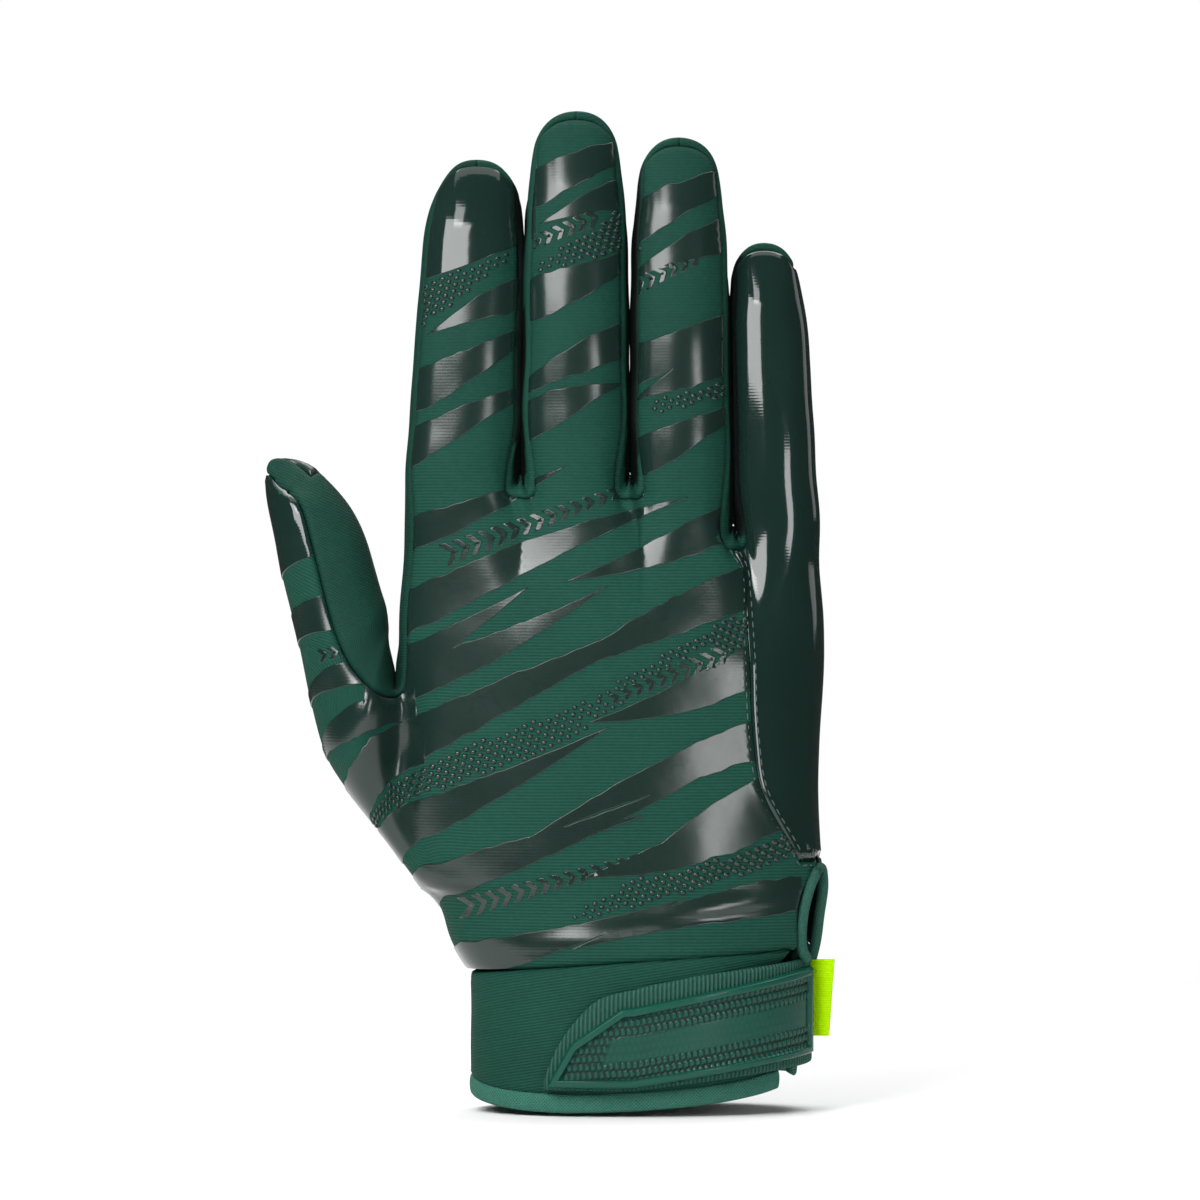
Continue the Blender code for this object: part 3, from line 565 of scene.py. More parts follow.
def add_webs(skin):
    pieces = ("fourchette_index_middle", "fourchette_middle_ring", "fourchette_ring_pinky")
    for number, piece in enumerate(pieces):
        for side in "dwp":
            skin.points[("web", number, side)] = web_point(number, side)
        front, saddle, back = (("web", number, side) for side in "dwp")
        left = [finger_key(number, 0, column) for column in ("d4", "wr", "p4")]
        right = [finger_key(number + 1, 0, column) for column in ("d0", "wl", "p0")]
        skin.add(piece, left[0], front, saddle, left[1])
        skin.add(piece, front, right[0], right[1], saddle)
        skin.add(piece, left[1], saddle, back, left[2])
        skin.add(piece, saddle, right[1], right[2], back)


def add_palm(skin):
    last = PALM_COLUMNS - 1
    right_edge = (("d", last), ("w", 1), ("p", last))
    for row in range(len(PALM_ROWS)):
        for side in "dp":
            for column in range(PALM_COLUMNS):
                skin.points[palm_key(row, side, column)] = palm_point(row, side, column)
        skin.points[palm_key(row, "w", 1)] = palm_point(row, "w", 1)
        if not THUMB_TOP_ROW < row < THUMB_LOW_ROW:
            skin.points[palm_key(row, "w", 0)] = palm_point(row, "w", 0)
    for high in range(-1, len(PALM_ROWS) - 1):
        low = high + 1
        above_slit = low <= SLIT_TOP_ROW
        for column in range(last):
            side_panel = above_slit and column >= SEAM_COLUMN
            skin.add("pinky_panel" if side_panel else "back_panel",
                     palm_key(low, "d", column), palm_key(low, "d", column + 1),
                     palm_key(high, "d", column + 1), palm_key(high, "d", column))
            skin.add("palm_panel",
                     palm_key(low, "p", column + 1), palm_key(low, "p", column),
                     palm_key(high, "p", column), palm_key(high, "p", column + 1))
        right, right_low = ([palm_key(row, side, column) for side, column in right_edge]
                            for row in (high, low))
        if above_slit:
            skin.add("pinky_panel", right_low[0], right_low[1], right[1], right[0])
        skin.add("pinky_panel" if above_slit else "palm_panel",
                 right_low[1], right_low[2], right[2], right[1])
        if THUMB_TOP_ROW < low <= THUMB_LOW_ROW:
            continue
        above_thumb = low <= THUMB_TOP_ROW
        left, left_low = ([palm_key(row, side, 0) for side in "pwd"] for row in (high, low))
        skin.add("fourchette_thumb_index" if above_thumb else "palm_panel",
                 left_low[0], left_low[1], left[1], left[0])
        skin.add("fourchette_thumb_index" if above_thumb else "back_panel",
                 left_low[1], left_low[2], left[2], left[1])


def add_thumb(skin):
    places = len(THUMB_ROOT_TURN)
    pieces = (["back_panel"] * 4 + ["palm_panel"] * 4 + ["fourchette_thumb_index"] * 2)
    for row in range(len(THUMB_ROWS)):
        for place in range(places):
            skin.points[thumb_key(row, place)] = thumb_point(row, place)
    for low in range(-1, len(THUMB_ROWS) - 1):
        for place, piece in enumerate(pieces):
            after = (place + 1) % places
            skin.add(piece, thumb_key(low, after), thumb_key(low, place),
                     thumb_key(low + 1, place), thumb_key(low + 1, after))
    top = len(THUMB_ROWS) - 1
    for number in (0, 1):
        skin.points[("thumb tip", number)] = thumb_tip_point(number)
    middle = [thumb_key(top, 9), ("thumb tip", 0), ("thumb tip", 1), thumb_key(top, 4)]
    for place in range(3):
        skin.add("fourchette_thumb_index", thumb_key(top, place + 1), thumb_key(top, place),
                 middle[place], middle[place + 1])
        skin.add("palm_panel", middle[place + 1], middle[place],
                 thumb_key(top, 8 - place), thumb_key(top, 7 - place))


def glove_skin():
    skin = Skin()
    add_fingers(skin)
    add_webs(skin)
    add_palm(skin)
    add_thumb(skin)
    return skin


# Slant of the knit on the thumb, in degrees, and how many rows it takes to reach it
THUMB_RIB_SLANT = 25.0
THUMB_RIB_ROWS = 3


def plan_points(skin):
    """Plan coordinates of each cage point. The back of the hand is seen flat from the front,
    and what turns away at its sides is unrolled past its edges."""
    points = skin.points
    plan = {key: [point.x / MM, point.z / MM] for key, point in points.items()}

    def unroll(keys, sign):
        for before, key in zip(keys, keys[1:]):
            step = (points[key] - points[before]).length / MM
            plan[key][0] = plan[before][0] + sign * step

    for number in range(len(FINGERS)):
        for row in list(range(len(FINGER_ROWS))) + [None]:
            unroll([finger_key(number, row, c) for c in ("d0", "wl", "p0")], -1)
            unroll([finger_key(number, row, c) for c in ("d4", "wr", "p4")], 1)
    for row in range(len(PALM_ROWS)):
        if palm_key(row, "w", 0) in points:
            unroll([palm_key(row, "d", 0), palm_key(row, "w", 0)], -1)
        unroll([palm_key(row, "d", PALM_COLUMNS - 1), palm_key(row, "w", 1)], 1)
    for row in range(len(THUMB_ROWS)):
        unroll([thumb_key(row, place) for place in range(1, 6)], -1)
    slant = math.radians(THUMB_RIB_SLANT)
    for key, spot in plan.items():
        rib = points[key].z / MM
        if key[0] in ("thumb", "thumb tip"):
            row = key[1] if key[0] == "thumb" else len(THUMB_ROWS)
            share = min((row + 1) / THUMB_RIB_ROWS, 1.0)
            turned = spot[0] * math.sin(slant) + spot[1] * math.cos(slant)
            rib += (turned - rib) * share
        spot.append(rib)
    return plan


def limit_cage(points, faces, rounds=30):
    """The cage whose smooth limit surface passes through the points."""
    count = len(points)
    edges = np.concatenate([np.stack([faces[:, i], faces[:, (i + 1) % 4]], 1) for i in range(4)])
    edges.sort(axis=1)
    edges, uses = np.unique(edges, axis=0, return_counts=True)
    rim = edges[uses == 1]
    diagonals = np.concatenate([np.stack([faces[:, i], faces[:, (i + 2) % 4]], 1) for i in range(4)])

    def gathered(pairs, values, both):
        total = np.zeros_like(values)
        np.add.at(total, pairs[:, 0], values[pairs[:, 1]])
        if both:
            np.add.at(total, pairs[:, 1], values[pairs[:, 0]])
        return total

    ones = np.ones((count, 1))
    valence = gathered(edges, ones, True)
    on_rim = gathered(rim, ones, True)[:, 0] == 2

    def limit(cage):
        moved = valence ** 2 * cage + 4 * gathered(edges, cage, True) + gathered(diagonals, cage, False)
        moved /= valence * (valence + 5)
        along = (4 * cage + gathered(rim, cage, True)) / 6
        moved[on_rim] = along[on_rim]
        return moved

    cage = points.copy()
    for _ in range(rounds):
        cage += points - limit(cage)
    return cage


def subdivided(points, faces, tags, level):
    """The limit surface of a cage as points, faces and the tag of each face."""
    mesh = bpy.data.meshes.new("cage")
    mesh.from_pydata(points.tolist(), [], faces.tolist())
    mesh.polygons.foreach_set("material_index", tags)
    obj = placed("cage", mesh)
    modifier = obj.modifiers.new("smooth", "SUBSURF")
    modifier.levels = modifier.render_levels = level
    bpy.context.view_layer.update()
    fine = obj.evaluated_get(bpy.context.evaluated_depsgraph_get()).to_mesh()
    spots = np.empty(len(fine.vertices) * 3, np.float32)
    fine.vertices.foreach_get("co", spots)
    corners = np.empty(len(fine.polygons) * 4, np.int32)
    fine.polygons.foreach_get("vertices", corners)
    marks = np.empty(len(fine.polygons), np.int32)
    fine.polygons.foreach_get("material_index", marks)
    bpy.data.objects.remove(obj)
    bpy.data.meshes.remove(mesh)
    return spots.reshape(-1, 3).astype(float), corners.reshape(-1, 4), marks


def unit(vectors):
    return vectors / np.maximum(np.linalg.norm(vectors, axis=-1, keepdims=True), 1e-12)


def point_normals(points, faces):
    """The mean direction of the faces round each point."""
    a, b, c, d = (points[faces[:, i]] for i in range(4))
    facing = np.cross(c - a, d - b)
    total = np.zeros_like(points)
    for i in range(4):
        np.add.at(total, faces[:, i], facing)
    return unit(total)


def open_edges(faces, count):
    """The directed edges that only one face uses."""
    after = np.roll(faces, -1, axis=1)
    ahead = faces.astype(np.int64) * count + after
    behind = after.astype(np.int64) * count + faces
    loose = ~np.isin(ahead, behind)
    return np.stack([faces[loose], after[loose]], 1)


def side_walls(rim, count):
    """Faces from each edge of a rim to its copy, which comes count points later."""
    a, b = rim[:, 0], rim[:, 1]
    return np.stack([b, a, a + count, b + count], 1)


def ring_walls(first, rings, sides):
    """Faces between rings of points that follow each other, from the first point on."""
    faces = []
    for ring in range(rings - 1):
        for k in range(sides):
            a = first + ring * sides + k
            b = first + ring * sides + (k + 1) % sides
            faces.append((a, b, b + sides, a + sides))
    return faces


def lengths_along(points):
    """How far along its line each point is."""
    steps = np.linalg.norm(np.diff(points, axis=0), axis=1)
    return np.concatenate([[0.0], np.cumsum(steps)])


def at_lengths(where, lengths, values):
    """Values that are known at lengths, read at others."""
    return np.stack([np.interp(where, lengths, column) for column in values.T], -1)


def with_ends(values):
    """The values with one more at each end, straight on."""
    return np.concatenate([[2 * values[0] - values[1]], values, [2 * values[-1] - values[-2]]])


def curve(p0, p1, p2, p3, part):
    """A place between p1 and p2 on the smooth curve through all four."""
    return 0.5 * (2 * p1 + (p2 - p0) * part + (2 * p0 - 5 * p1 + 4 * p2 - p3) * part ** 2
                  + (3 * p1 - p0 - 3 * p2 + p3) * part ** 3)


def plan_axes(angle):
    """The ways along and across a line of the plan, at an angle in degrees."""
    turn = math.radians(angle)
    return np.array([math.cos(turn), math.sin(turn)]), np.array([-math.sin(turn), math.cos(turn)])


def point_tree(spots):
    tree = KDTree(len(spots))
    for i, spot in enumerate(spots):
        tree.insert(spot, i)
    tree.balance()
    return tree


def distance_to(points, others):
    tree = point_tree(others)
    return np.array([tree.find(spot)[2] for spot in points])


class Fold(NamedTuple):
    """A crease or a soft ridge across the back of the hand. Place and length are plan
    millimetres, angle is in degrees, and depth is millimetres, minus for a ridge."""

    u: float
    v: float
    angle: float
    length: float
    width: float
    depth: float


FOLDS = (
    Fold(14, 46, 9, 26, 1.5, 0.30),
    Fold(17, 42, 10, 26, 1.6, -0.40),
    Fold(10, 39, 7, 40, 1.5, 0.50),
    Fold(-2, 36, 5, 50, 1.8, -0.35),
    Fold(22, 51, 14, 16, 1.5, 0.25),
    Fold(-46, 44, -20, 12, 1.8, 0.60),
    Fold(-47, 49, -22, 14, 2.2, -0.50),
    Fold(-57, 76, 55, 16, 3.0, 0.50),
)


def fold_relief(plan):
    """How far the folds push each point out, in metres."""
    relief = np.zeros(len(plan))
    for fold in FOLDS:
        turn = math.radians(fold.angle)
        du = plan[:, 0] - fold.u
        dv = plan[:, 1] - fold.v
        along = du * math.cos(turn) + dv * math.sin(turn)
        across = dv * math.cos(turn) - du * math.sin(turn)
        size = np.exp(-(across / fold.width) ** 2 - (along / (fold.length / 2)) ** 4)
        relief -= size * fold.depth * MM
    return relief


def unevenness(points, scale, height, seed=0.0):
    """Slow bumps over a surface, the same on each run."""
    values = [noise.noise(Vector(spot) / scale + Vector((seed, seed, 0))) for spot in points]
    return np.array(values) * height


class Seam(NamedTuple):
    """How a piece's edge sinks into its seam, and how far it stays from the next piece."""

    depth: float
    reach: float
    puff: float
    gap: float


# Where the soft swelling beside a seam is highest, in reaches of the seam
PUFF_PLACE = 2.4
PANEL_SEAM = Seam(0.00030, 0.0007, 0.00008, 0.00008)
GLOSS_SEAM = Seam(0.00014, 0.0005, 0.00004, 0.00004)
NO_SEAM = Seam(0.0, 0.001, 0.0, 0.0)
CUFF_SEAM = Seam(0.00025, 0.0006, 0.00006, 0.0)
EDGE_TURN = 0.92


def linked(name, points, faces, materials, marks=None, plan=None):
    """A smooth mesh object that rides on the glove's body."""
    mesh = bpy.data.meshes.new(name)
    mesh.from_pydata(np.asarray(points).tolist(), [], faces)
    for material in materials:
        mesh.materials.append(material)
    if marks is not None:
        mesh.polygons.foreach_set("material_index", marks)
    if plan is not None:
        layer = mesh.attributes.new("plan", "FLOAT_VECTOR", "POINT")
        layer.data.foreach_set("vector", np.asarray(plan, np.float32).ravel())
    mesh.shade_smooth()
    obj = placed(name, mesh)
    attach(obj, "root")
    return obj


class Piece:
    """The outer surface of one piece, as it shows: points, normals, faces and plan. Points
    marked as joined meet the next piece with no seam showing."""

    def __init__(self, points, faces, plan, relief, seam, normals=None, joined=None):
        used, local = np.unique(faces, return_inverse=True)
        self.used = used
        self.faces = local.reshape(-1, 4)
        self.plan = plan[used]
        base = points[used]
        self.away = normals[used] if normals is not None else point_normals(base, self.faces)
        self.rim = open_edges(self.faces, len(used))
        along = unit(base[self.rim[:, 1]] - base[self.rim[:, 0]])
        inward = np.zeros_like(base)
        for end in (0, 1):
            np.add.at(inward, self.rim[:, end], np.cross(self.away[self.rim[:, end]], along))
        sewn = np.unique(self.rim)
        if joined is not None:
            inward[joined[used]] = 0.0
            sewn = sewn[~joined[used][sewn]]
        self.edge = distance_to(base, base[sewn])
        lift = -seam.depth * np.exp(-(self.edge / seam.reach) ** 2)
        lift += seam.puff * np.exp(-((self.edge - seam.reach * PUFF_PLACE) / seam.reach) ** 2)
        lift = lift + relief[used]
        self.points = base + unit(inward) * seam.gap + self.away * lift[:, None]

    def build(self, name, wall, materials, round_edge=0.0):
        """The closed wall of the piece, with the lining as the last material. A round edge
        turns in over that many metres, by EDGE_TURN of half the wall."""
        share = np.clip(1 - self.edge / max(round_edge, 1e-9), 0.0, 1.0)
        turned = (1 - np.sqrt(np.maximum(1 - share ** 2, 0.0))) * EDGE_TURN * wall / 2
        outer = self.points - self.away * turned[:, None]
        inner = self.points - self.away * (wall - turned)[:, None]
        count = len(outer)
        faces = np.concatenate([self.faces, self.faces[:, ::-1] + count, side_walls(self.rim, count)])
        marks = np.zeros(len(faces), np.int32)
        marks[len(self.faces):len(self.faces) * 2] = len(materials) - 1
        return linked(name, np.concatenate([outer, inner]), faces.tolist(), materials, marks,
                      np.concatenate([self.plan, self.plan]))


class Blade(NamedTuple):
    """A tapering stripe of film. Its root and sizes are plan millimetres, angle is in degrees,
    bend is how far its middle bows up, and tail is its width at the far end as a share."""

    u: float
    v: float
    angle: float
    length: float
    width: float
    bend: float
    tail: float


HAND_BLADES = (
    Blade(-64, 26, 14, 78, 9.0, -2.0, 0.0),
    Blade(-68, 40, 19, 74, 8.5, 2.0, 0.0),
    Blade(-68, 42, 21, 92, 8.0, -2.5, 0.0),
    Blade(-80, 52, 24, 80, 11.0, -2.0, 0.0),
    Blade(-86, 64, 26, 112, 11.0, 1.5, 0.0),
    Blade(-64, 92, 24, 62, 8.5, -2.0, 0.0),
    Blade(-64, 95, 30, 44, 7.0, -1.0, 0.0),
    Blade(-64, 106, 23, 82, 9.5, 2.5, 0.0),
    Blade(-60, 128, 22, 46, 7.5, -1.5, 0.0),
    Blade(38, 46, 194, 56, 8.0, 2.0, 0.0),
    Blade(35, 68, 201, 52, 11.0, -2.0, 0.0),
    Blade(34, 71, 208, 40, 9.0, 1.0, 0.0),
    Blade(33, 84, 204, 68, 8.5, 2.0, 0.0),
    Blade(31, 102, 201, 46, 9.5, -2.0, 0.0),
    Blade(30, 119, 205, 62, 9.5, 2.0, 0.0),
    Blade(29, 137, 202, 50, 8.5, -1.5, 0.0),
)
FINGER_BLADES = (
    Blade(-58, 147, 28, 33.5, 8.0, 0.5, 0.30),
    Blade(-58, 161, 27, 33.0, 9.0, -1.0, 0.45),
    Blade(-26.0, 187, 205, 26, 7.0, 1.0, 0.0),
    Blade(-28.2, 155, 22, 26, 9.0, 0.8, 0.0),
    Blade(-1.8, 176, 206, 28.5, 8.0, 1.0, 0.35),
    Blade(-28.0, 184, 22, 27.5, 9.5, -0.8, 0.40),
    Blade(-1.0, 211, 202, 24, 6.5, 0.6, 0.0),
    Blade(-28, 209, 24, 29.0, 8.5, 0.6, 0.5),
    Blade(-2.2, 147, 26, 26.5, 8.5, -0.6, 0.35),
    Blade(22.0, 172, 206, 26, 8.0, 0.8, 0.0),
    Blade(-2.4, 169, 24, 27.0, 8.5, -0.8, 0.5),
    Blade(22.0, 201, 205, 27, 7.5, 0.8, 0.1),
    Blade(-3.0, 202, 25, 28.0, 9.0, 0.6, 0.45),
)
THUMB_BLADES = (
    Blade(-54, 101, 200, 40, 6.5, 1.5, 0.1),
    Blade(-60, 112, 196, 34, 5.0, 1.0, 0.2),
    Blade(-96, 104, 24, 40, 6.5, -0.8, 0.3),
    Blade(-52, 91, 202, 44, 7.5, 1.2, 0.0),
    Blade(-50, 80, 206, 44, 7.0, 1.2, 0.0),
)


# Steps along a stripe in millimetres, how it narrows and swells, and its ragged edges: bumps
# to a millimetre, their size as a share of the half width, and where the noise is read
BLADE_STEP = 0.9
BLADE_NARROWING = 0.85
BLADE_SWELL = 0.30
RAGGED_SCALE = 0.33
RAGGED_SIZE = 0.14
RAGGED_SEEDS = (1.7, 7.3)
# How much of the half width lies above and below a stripe's middle line
BLADE_ABOVE = 0.9
BLADE_BELOW = 1.1


def blade_outline(blade):
    ahead, _ = plan_axes(blade.angle)
    up = np.array([0.0, 1.0])
    steps = int(blade.length / BLADE_STEP) + 2
    share = np.linspace(0.0, 1.0, steps)[:, None]
    middle = np.array([blade.u, blade.v]) + ahead * blade.length * share
    middle = middle + up * blade.bend * 4 * share * (1 - share)
    body = (1 - share) ** BLADE_NARROWING * (1 + BLADE_SWELL * np.sin(np.pi * share))
    half = blade.width / 2 * (blade.tail + (1 - blade.tail) * body) / abs(ahead[0])
    ragged = [[noise.noise(Vector((u * RAGGED_SCALE, v * RAGGED_SCALE, seed))) for u, v in middle]
              for seed in RAGGED_SEEDS]
    above, below = (np.array(values).reshape(-1, 1) * RAGGED_SIZE * half for values in ragged)
    upper = middle + up * (half * BLADE_ABOVE + above)
    lower = middle - up * (half * BLADE_BELOW + below)
    if blade.tail == 0.0:
        return np.concatenate([upper, lower[-2::-1]])
    return np.concatenate([upper, lower[::-1]])


class ChevronRow(NamedTuple):
    """A row of film chevrons in plan millimetres, growing or shrinking along the row."""

    u: float
    v: float
    angle: float
    count: int
    pitch: float
    first: float
    last: float


CHEVRON_ROWS = (
    ChevronRow(-44, 125, 20, 16, 3.1, 5.5, 2.2),
    ChevronRow(-40, 42.5, 16, 15, 3.1, 5.0, 2.0),
    ChevronRow(-6, 91, 22, 10, 3.0, 2.4, 4.6),
    ChevronRow(-24, 198, 22, 6, 2.8, 3.0, 4.2),
    ChevronRow(0, 188, 24, 6, 2.8, 4.2, 3.0),
    ChevronRow(-74, 101, 14, 4, 2.6, 3.2, 2.4),
)


# A chevron's thickness as a share of the pitch, and how far its arms lean back, of its size
CHEVRON_THICK = 0.52
CHEVRON_LEAN = 0.42


def chevron_outlines(row):
    ahead, up = plan_axes(row.angle)
    found = []
    for i in range(row.count):
        size = row.first + (row.last - row.first) * i / max(row.count - 1, 1)
        middle = np.array([row.u, row.v]) + ahead * row.pitch * i
        thick = row.pitch * CHEVRON_THICK
        tip = size * CHEVRON_LEAN
        back = [up * size / 2 - ahead * tip, np.zeros(2), -up * size / 2 - ahead * tip]
        front = [spot + ahead * thick for spot in back]
        found.append(np.array([middle + spot for spot in front + back[::-1]])[::-1])
    return found


class StudField(NamedTuple):
    """A tapering field of small diamond studs in plan millimetres."""

    u: float
    v: float
    angle: float
    length: float
    width: float
    pitch: float
    large: float
    small: float


STUD_FIELDS = (
    StudField(-72, 57, 27, 84, 18, 2.25, 0.86, 0.52),
    StudField(34, 60, 202, 56, 13, 2.20, 0.88, 0.52),
    StudField(32, 110, 204, 48, 10, 2.15, 0.82, 0.50),
    StudField(-56, 183, 26, 30, 14, 2.10, 0.74, 0.52),
    StudField(-2, 201, 205, 26, 11, 2.10, 0.80, 0.50),
    StudField(22.5, 168, 206, 25, 10, 2.10, 0.80, 0.50),
)
STUD_LIFT = 0.00048
STUD_SIDES = 8
# Rows of studs are this share of the pitch apart, the field narrows by this power, and a stud
# keeps this share of its size clear of the stripes
STUD_ROW_GAP = 0.6
STUD_NARROWING = 0.7
STUD_CLEAR = 0.9
# Between a diamond, at 1, and a circle, at 2; then how much longer and slimmer
STUD_ROUND = 1.25
STUD_LONG = 1.15
STUD_SLIM = 0.95
# Each ring of a stud: width and height, as shares of its size and of STUD_LIFT
STUD_RINGS = ((1.0, -0.3), (0.95, 0.5), (0.72, 0.88))


def oriented(loop):
    """The loop counter-clockwise."""
    x, y = loop[:, 0], loop[:, 1]
    area = np.dot(x, np.roll(y, -1)) - np.dot(y, np.roll(x, -1))
    return loop if area > 0 else loop[::-1]


class PlanMap:
    """Finds the place and direction of the surface over a point of the plan."""

    def __init__(self, piece):
        quads = piece.faces
        self.triangles = np.concatenate([quads[:, [0, 1, 2]], quads[:, [0, 2, 3]]])
        self.flat = piece.plan[:, :2]
        spots = np.column_stack([self.flat, np.zeros(len(self.flat))])
        self.tree = BVHTree.FromPolygons(spots.tolist(), self.triangles.tolist())
        self.points = piece.points
        self.away = point_normals(piece.points, quads)

    def find(self, spots):
        """Places, directions and how far outside the plan each spot is."""
        hits = [self.tree.find_nearest((spot[0], spot[1], 0.0)) for spot in spots]
        corners = self.triangles[[hit[2] for hit in hits]]
        near = np.array([hit[0][:2] for hit in hits])
        a, b, c = (self.flat[corners[:, i]] for i in range(3))
        ab, ac, ap = b - a, c - a, near - a
        whole = ab[:, 0] * ac[:, 1] - ab[:, 1] * ac[:, 0]
        whole = np.where(np.abs(whole) < 1e-12, 1e-12, whole)
        second = (ap[:, 0] * ac[:, 1] - ap[:, 1] * ac[:, 0]) / whole
        third = (ab[:, 0] * ap[:, 1] - ab[:, 1] * ap[:, 0]) / whole
        weights = np.stack([1 - second - third, second, third], 1)[:, :, None]
        places = (self.points[corners] * weights).sum(axis=1)
        away = unit((self.away[corners] * weights).sum(axis=1))
        return places, away, np.array([hit[3] for hit in hits])


def rim_loop(piece):
    """The piece's edge in the plan as one loop."""
    after = dict(piece.rim.tolist())
    start = next(iter(after))
    loop = [start]
    while after[loop[-1]] != start:
        loop.append(after[loop[-1]])
    return np.array(loop)


FILM_EDGE = 0.00010
FILM_TOP = 0.00026
FILM_ROOT = 0.00012
FILM_BEVEL = 0.16
FILM_MARGIN = 0.30
FILM_GRID = 1.3
# Rows of the grid inside the film are this share of FILM_GRID apart, and keep this share of it
# from the film's edges
FILM_ROW_GAP = 0.87
FILM_CLEAR = 0.45
# How far apart the points lie that measure distance from the edges, and the bevel's points
EDGE_STEP = 0.15
BEVEL_STEP = 0.5
# How much the bevel's upper and lower shading turn from the surface's own
UPPER_TURN = 0.9
LOWER_TURN = 0.25
# How far inside an edge the surface is read to find which way is out
SHADE_REACH = 0.3


def film_triangles(shapes, region, extra):
    """Triangles inside the region and at least one shape, with the shapes that hold each."""
    spots = []
    loops = []
    for loop in [region] + shapes:
        loops.append(list(range(len(spots), len(spots) + len(loop))))
        spots += loop.tolist()
    spots += extra
    flat, _, faces, _, _, owners = delaunay_2d_cdt([Vector(s) for s in spots], [], loops, 1, 1e-5)
    kept = [(face, ids) for face, ids in zip(faces, owners) if 0 in ids and len(ids) > 1]
    triangles = np.array([face for face, _ in kept])
    return np.array([tuple(s) for s in flat]), triangles, [ids for _, ids in kept]


def spread_along(flat, rim, step):
    """Points along the rim's edges, at least one to an edge, with the way inward."""
    found = []
    for a, b in rim:
        start, end = flat[a], flat[b]
        length = np.linalg.norm(end - start)
        if length < 1e-6:
            continue
        ahead = (end - start) / length
        inward = np.array([-ahead[1], ahead[0]])
        count = max(int(round(length / step)), 1)
        for i in range(count):
            found.append((start + (end - start) * (i + 0.5) / count, inward))
    return found


def film_print(plan_map, piece, film, gloss):
    """The raised print: stripes and chevrons in film, and glossy covers on two fingertips."""
    loop = rim_loop(piece)
    flat = piece.plan[loop, :2]
    ahead = unit(np.roll(flat, -1, axis=0) - np.roll(flat, 1, axis=0))
    inward = np.stack([-ahead[:, 1], ahead[:, 0]], 1)
    region = oriented(flat + inward * FILM_MARGIN)
    tips = [oriented(np.array(tip)) for tip in TIP_COVERS]
    shapes = list(tips)
    for blade in HAND_BLADES + FINGER_BLADES + THUMB_BLADES:
        shapes.append(oriented(blade_outline(blade)))
    for row in CHEVRON_ROWS:
        shapes += [oriented(outline) for outline in chevron_outlines(row)]
    flat, triangles, _ = film_triangles(shapes, region, [])
    rim = open_edges(triangles, len(flat))
    tree = point_tree([(spot[0], spot[1], 0.0) for spot, _ in spread_along(flat, rim, EDGE_STEP)])
    extra = []
    for spot, inward in spread_along(flat, rim, BEVEL_STEP):
        inner = spot + inward * FILM_BEVEL
        if tree.find((inner[0], inner[1], 0.0))[2] > FILM_BEVEL * 0.9:
            extra.append(inner.tolist())
    cover = BVHTree.FromPolygons([(u, v, 0.0) for u, v in flat], triangles.tolist())
    low, high = flat.min(axis=0), flat.max(axis=0)
    rows = int((high[1] - low[1]) / (FILM_GRID * FILM_ROW_GAP)) + 1
    columns = int((high[0] - low[0]) / FILM_GRID) + 1
    for i in range(rows):
        for k in range(columns):
            u = low[0] + (k + 0.5 * (i % 2)) * FILM_GRID
            v = low[1] + i * FILM_GRID * FILM_ROW_GAP
            if cover.ray_cast((u, v, 1.0), (0, 0, -1))[0] is None:
                continue
            if tree.find((u, v, 0.0))[2] > FILM_GRID * FILM_CLEAR:
                extra.append([u, v])
    flat, triangles, owners = film_triangles(shapes, region, extra)
    rim = open_edges(triangles, len(flat))
    places, away, _ = plan_map.find(flat)
    lift = np.full(len(flat), FILM_TOP)
    lift[np.unique(rim)] = FILM_EDGE
    top = places + away * lift[:, None]
    root = places - away * FILM_ROOT
    side = side_walls(rim, len(flat))
    tip_ids = set(range(1, len(tips) + 1))
    marks = [1 if tip_ids & set(ids) else 0 for ids in owners] + [0] * len(side)
    used, local = np.unique(np.concatenate([triangles.ravel(), side.ravel()]), return_inverse=True)
    local = local.tolist()
    split = len(triangles) * 3
    faces = [local[i:i + 3] for i in range(0, split, 3)]
    faces += [local[i:i + 4] for i in range(split, len(local), 4)]
    plan = np.column_stack([flat, flat[:, 1]])
    obj = linked("film_print", np.concatenate([top, root])[used], faces, [film, gloss], marks,
                 np.concatenate([plan, plan])[used])
    ahead = unit(flat[rim[:, 1]] - flat[rim[:, 0]])
    inward = np.zeros_like(flat)
    for end in (0, 1):
        np.add.at(inward, rim[:, end], np.stack([-ahead[:, 1], ahead[:, 0]], 1))
    edge = np.linalg.norm(inward, axis=1) > 0
    out = np.zeros_like(places)
    inner = flat[edge] + unit(inward[edge]) * SHADE_REACH
    out[edge] = unit(places[edge] - plan_map.find(inner)[0])
    upper = unit(away + out * UPPER_TURN)
    lower = unit(away * LOWER_TURN + out)
    obj.data.normals_split_custom_set_from_vertices(np.concatenate([upper, lower])[used].tolist())
    return obj, cover


def stud_spots(cover):
    """The place, size and axes of each stud that is clear of the stripes."""
    found = []
    for field in STUD_FIELDS:
        ahead, up = plan_axes(field.angle)
        rows = int(field.width / (field.pitch * STUD_ROW_GAP))
        for i in range(-rows, rows + 1):
            for k in range(int(field.length / field.pitch)):
                along = (k + 0.5 * (i % 2)) * field.pitch
                across = i * field.pitch * STUD_ROW_GAP
                share = along / field.length
                if abs(across) > field.width / 2 * (1 - share) ** STUD_NARROWING:
                    continue
                fade = max(share, abs(across) / field.width)
                size = field.large + (field.small - field.large) * fade
                spot = np.array([field.u, field.v]) + ahead * along + up * across
                if cover.find_nearest((spot[0], spot[1], 0.0))[3] >= size * STUD_CLEAR:
                    found.append((spot, size, ahead, up))
    return found


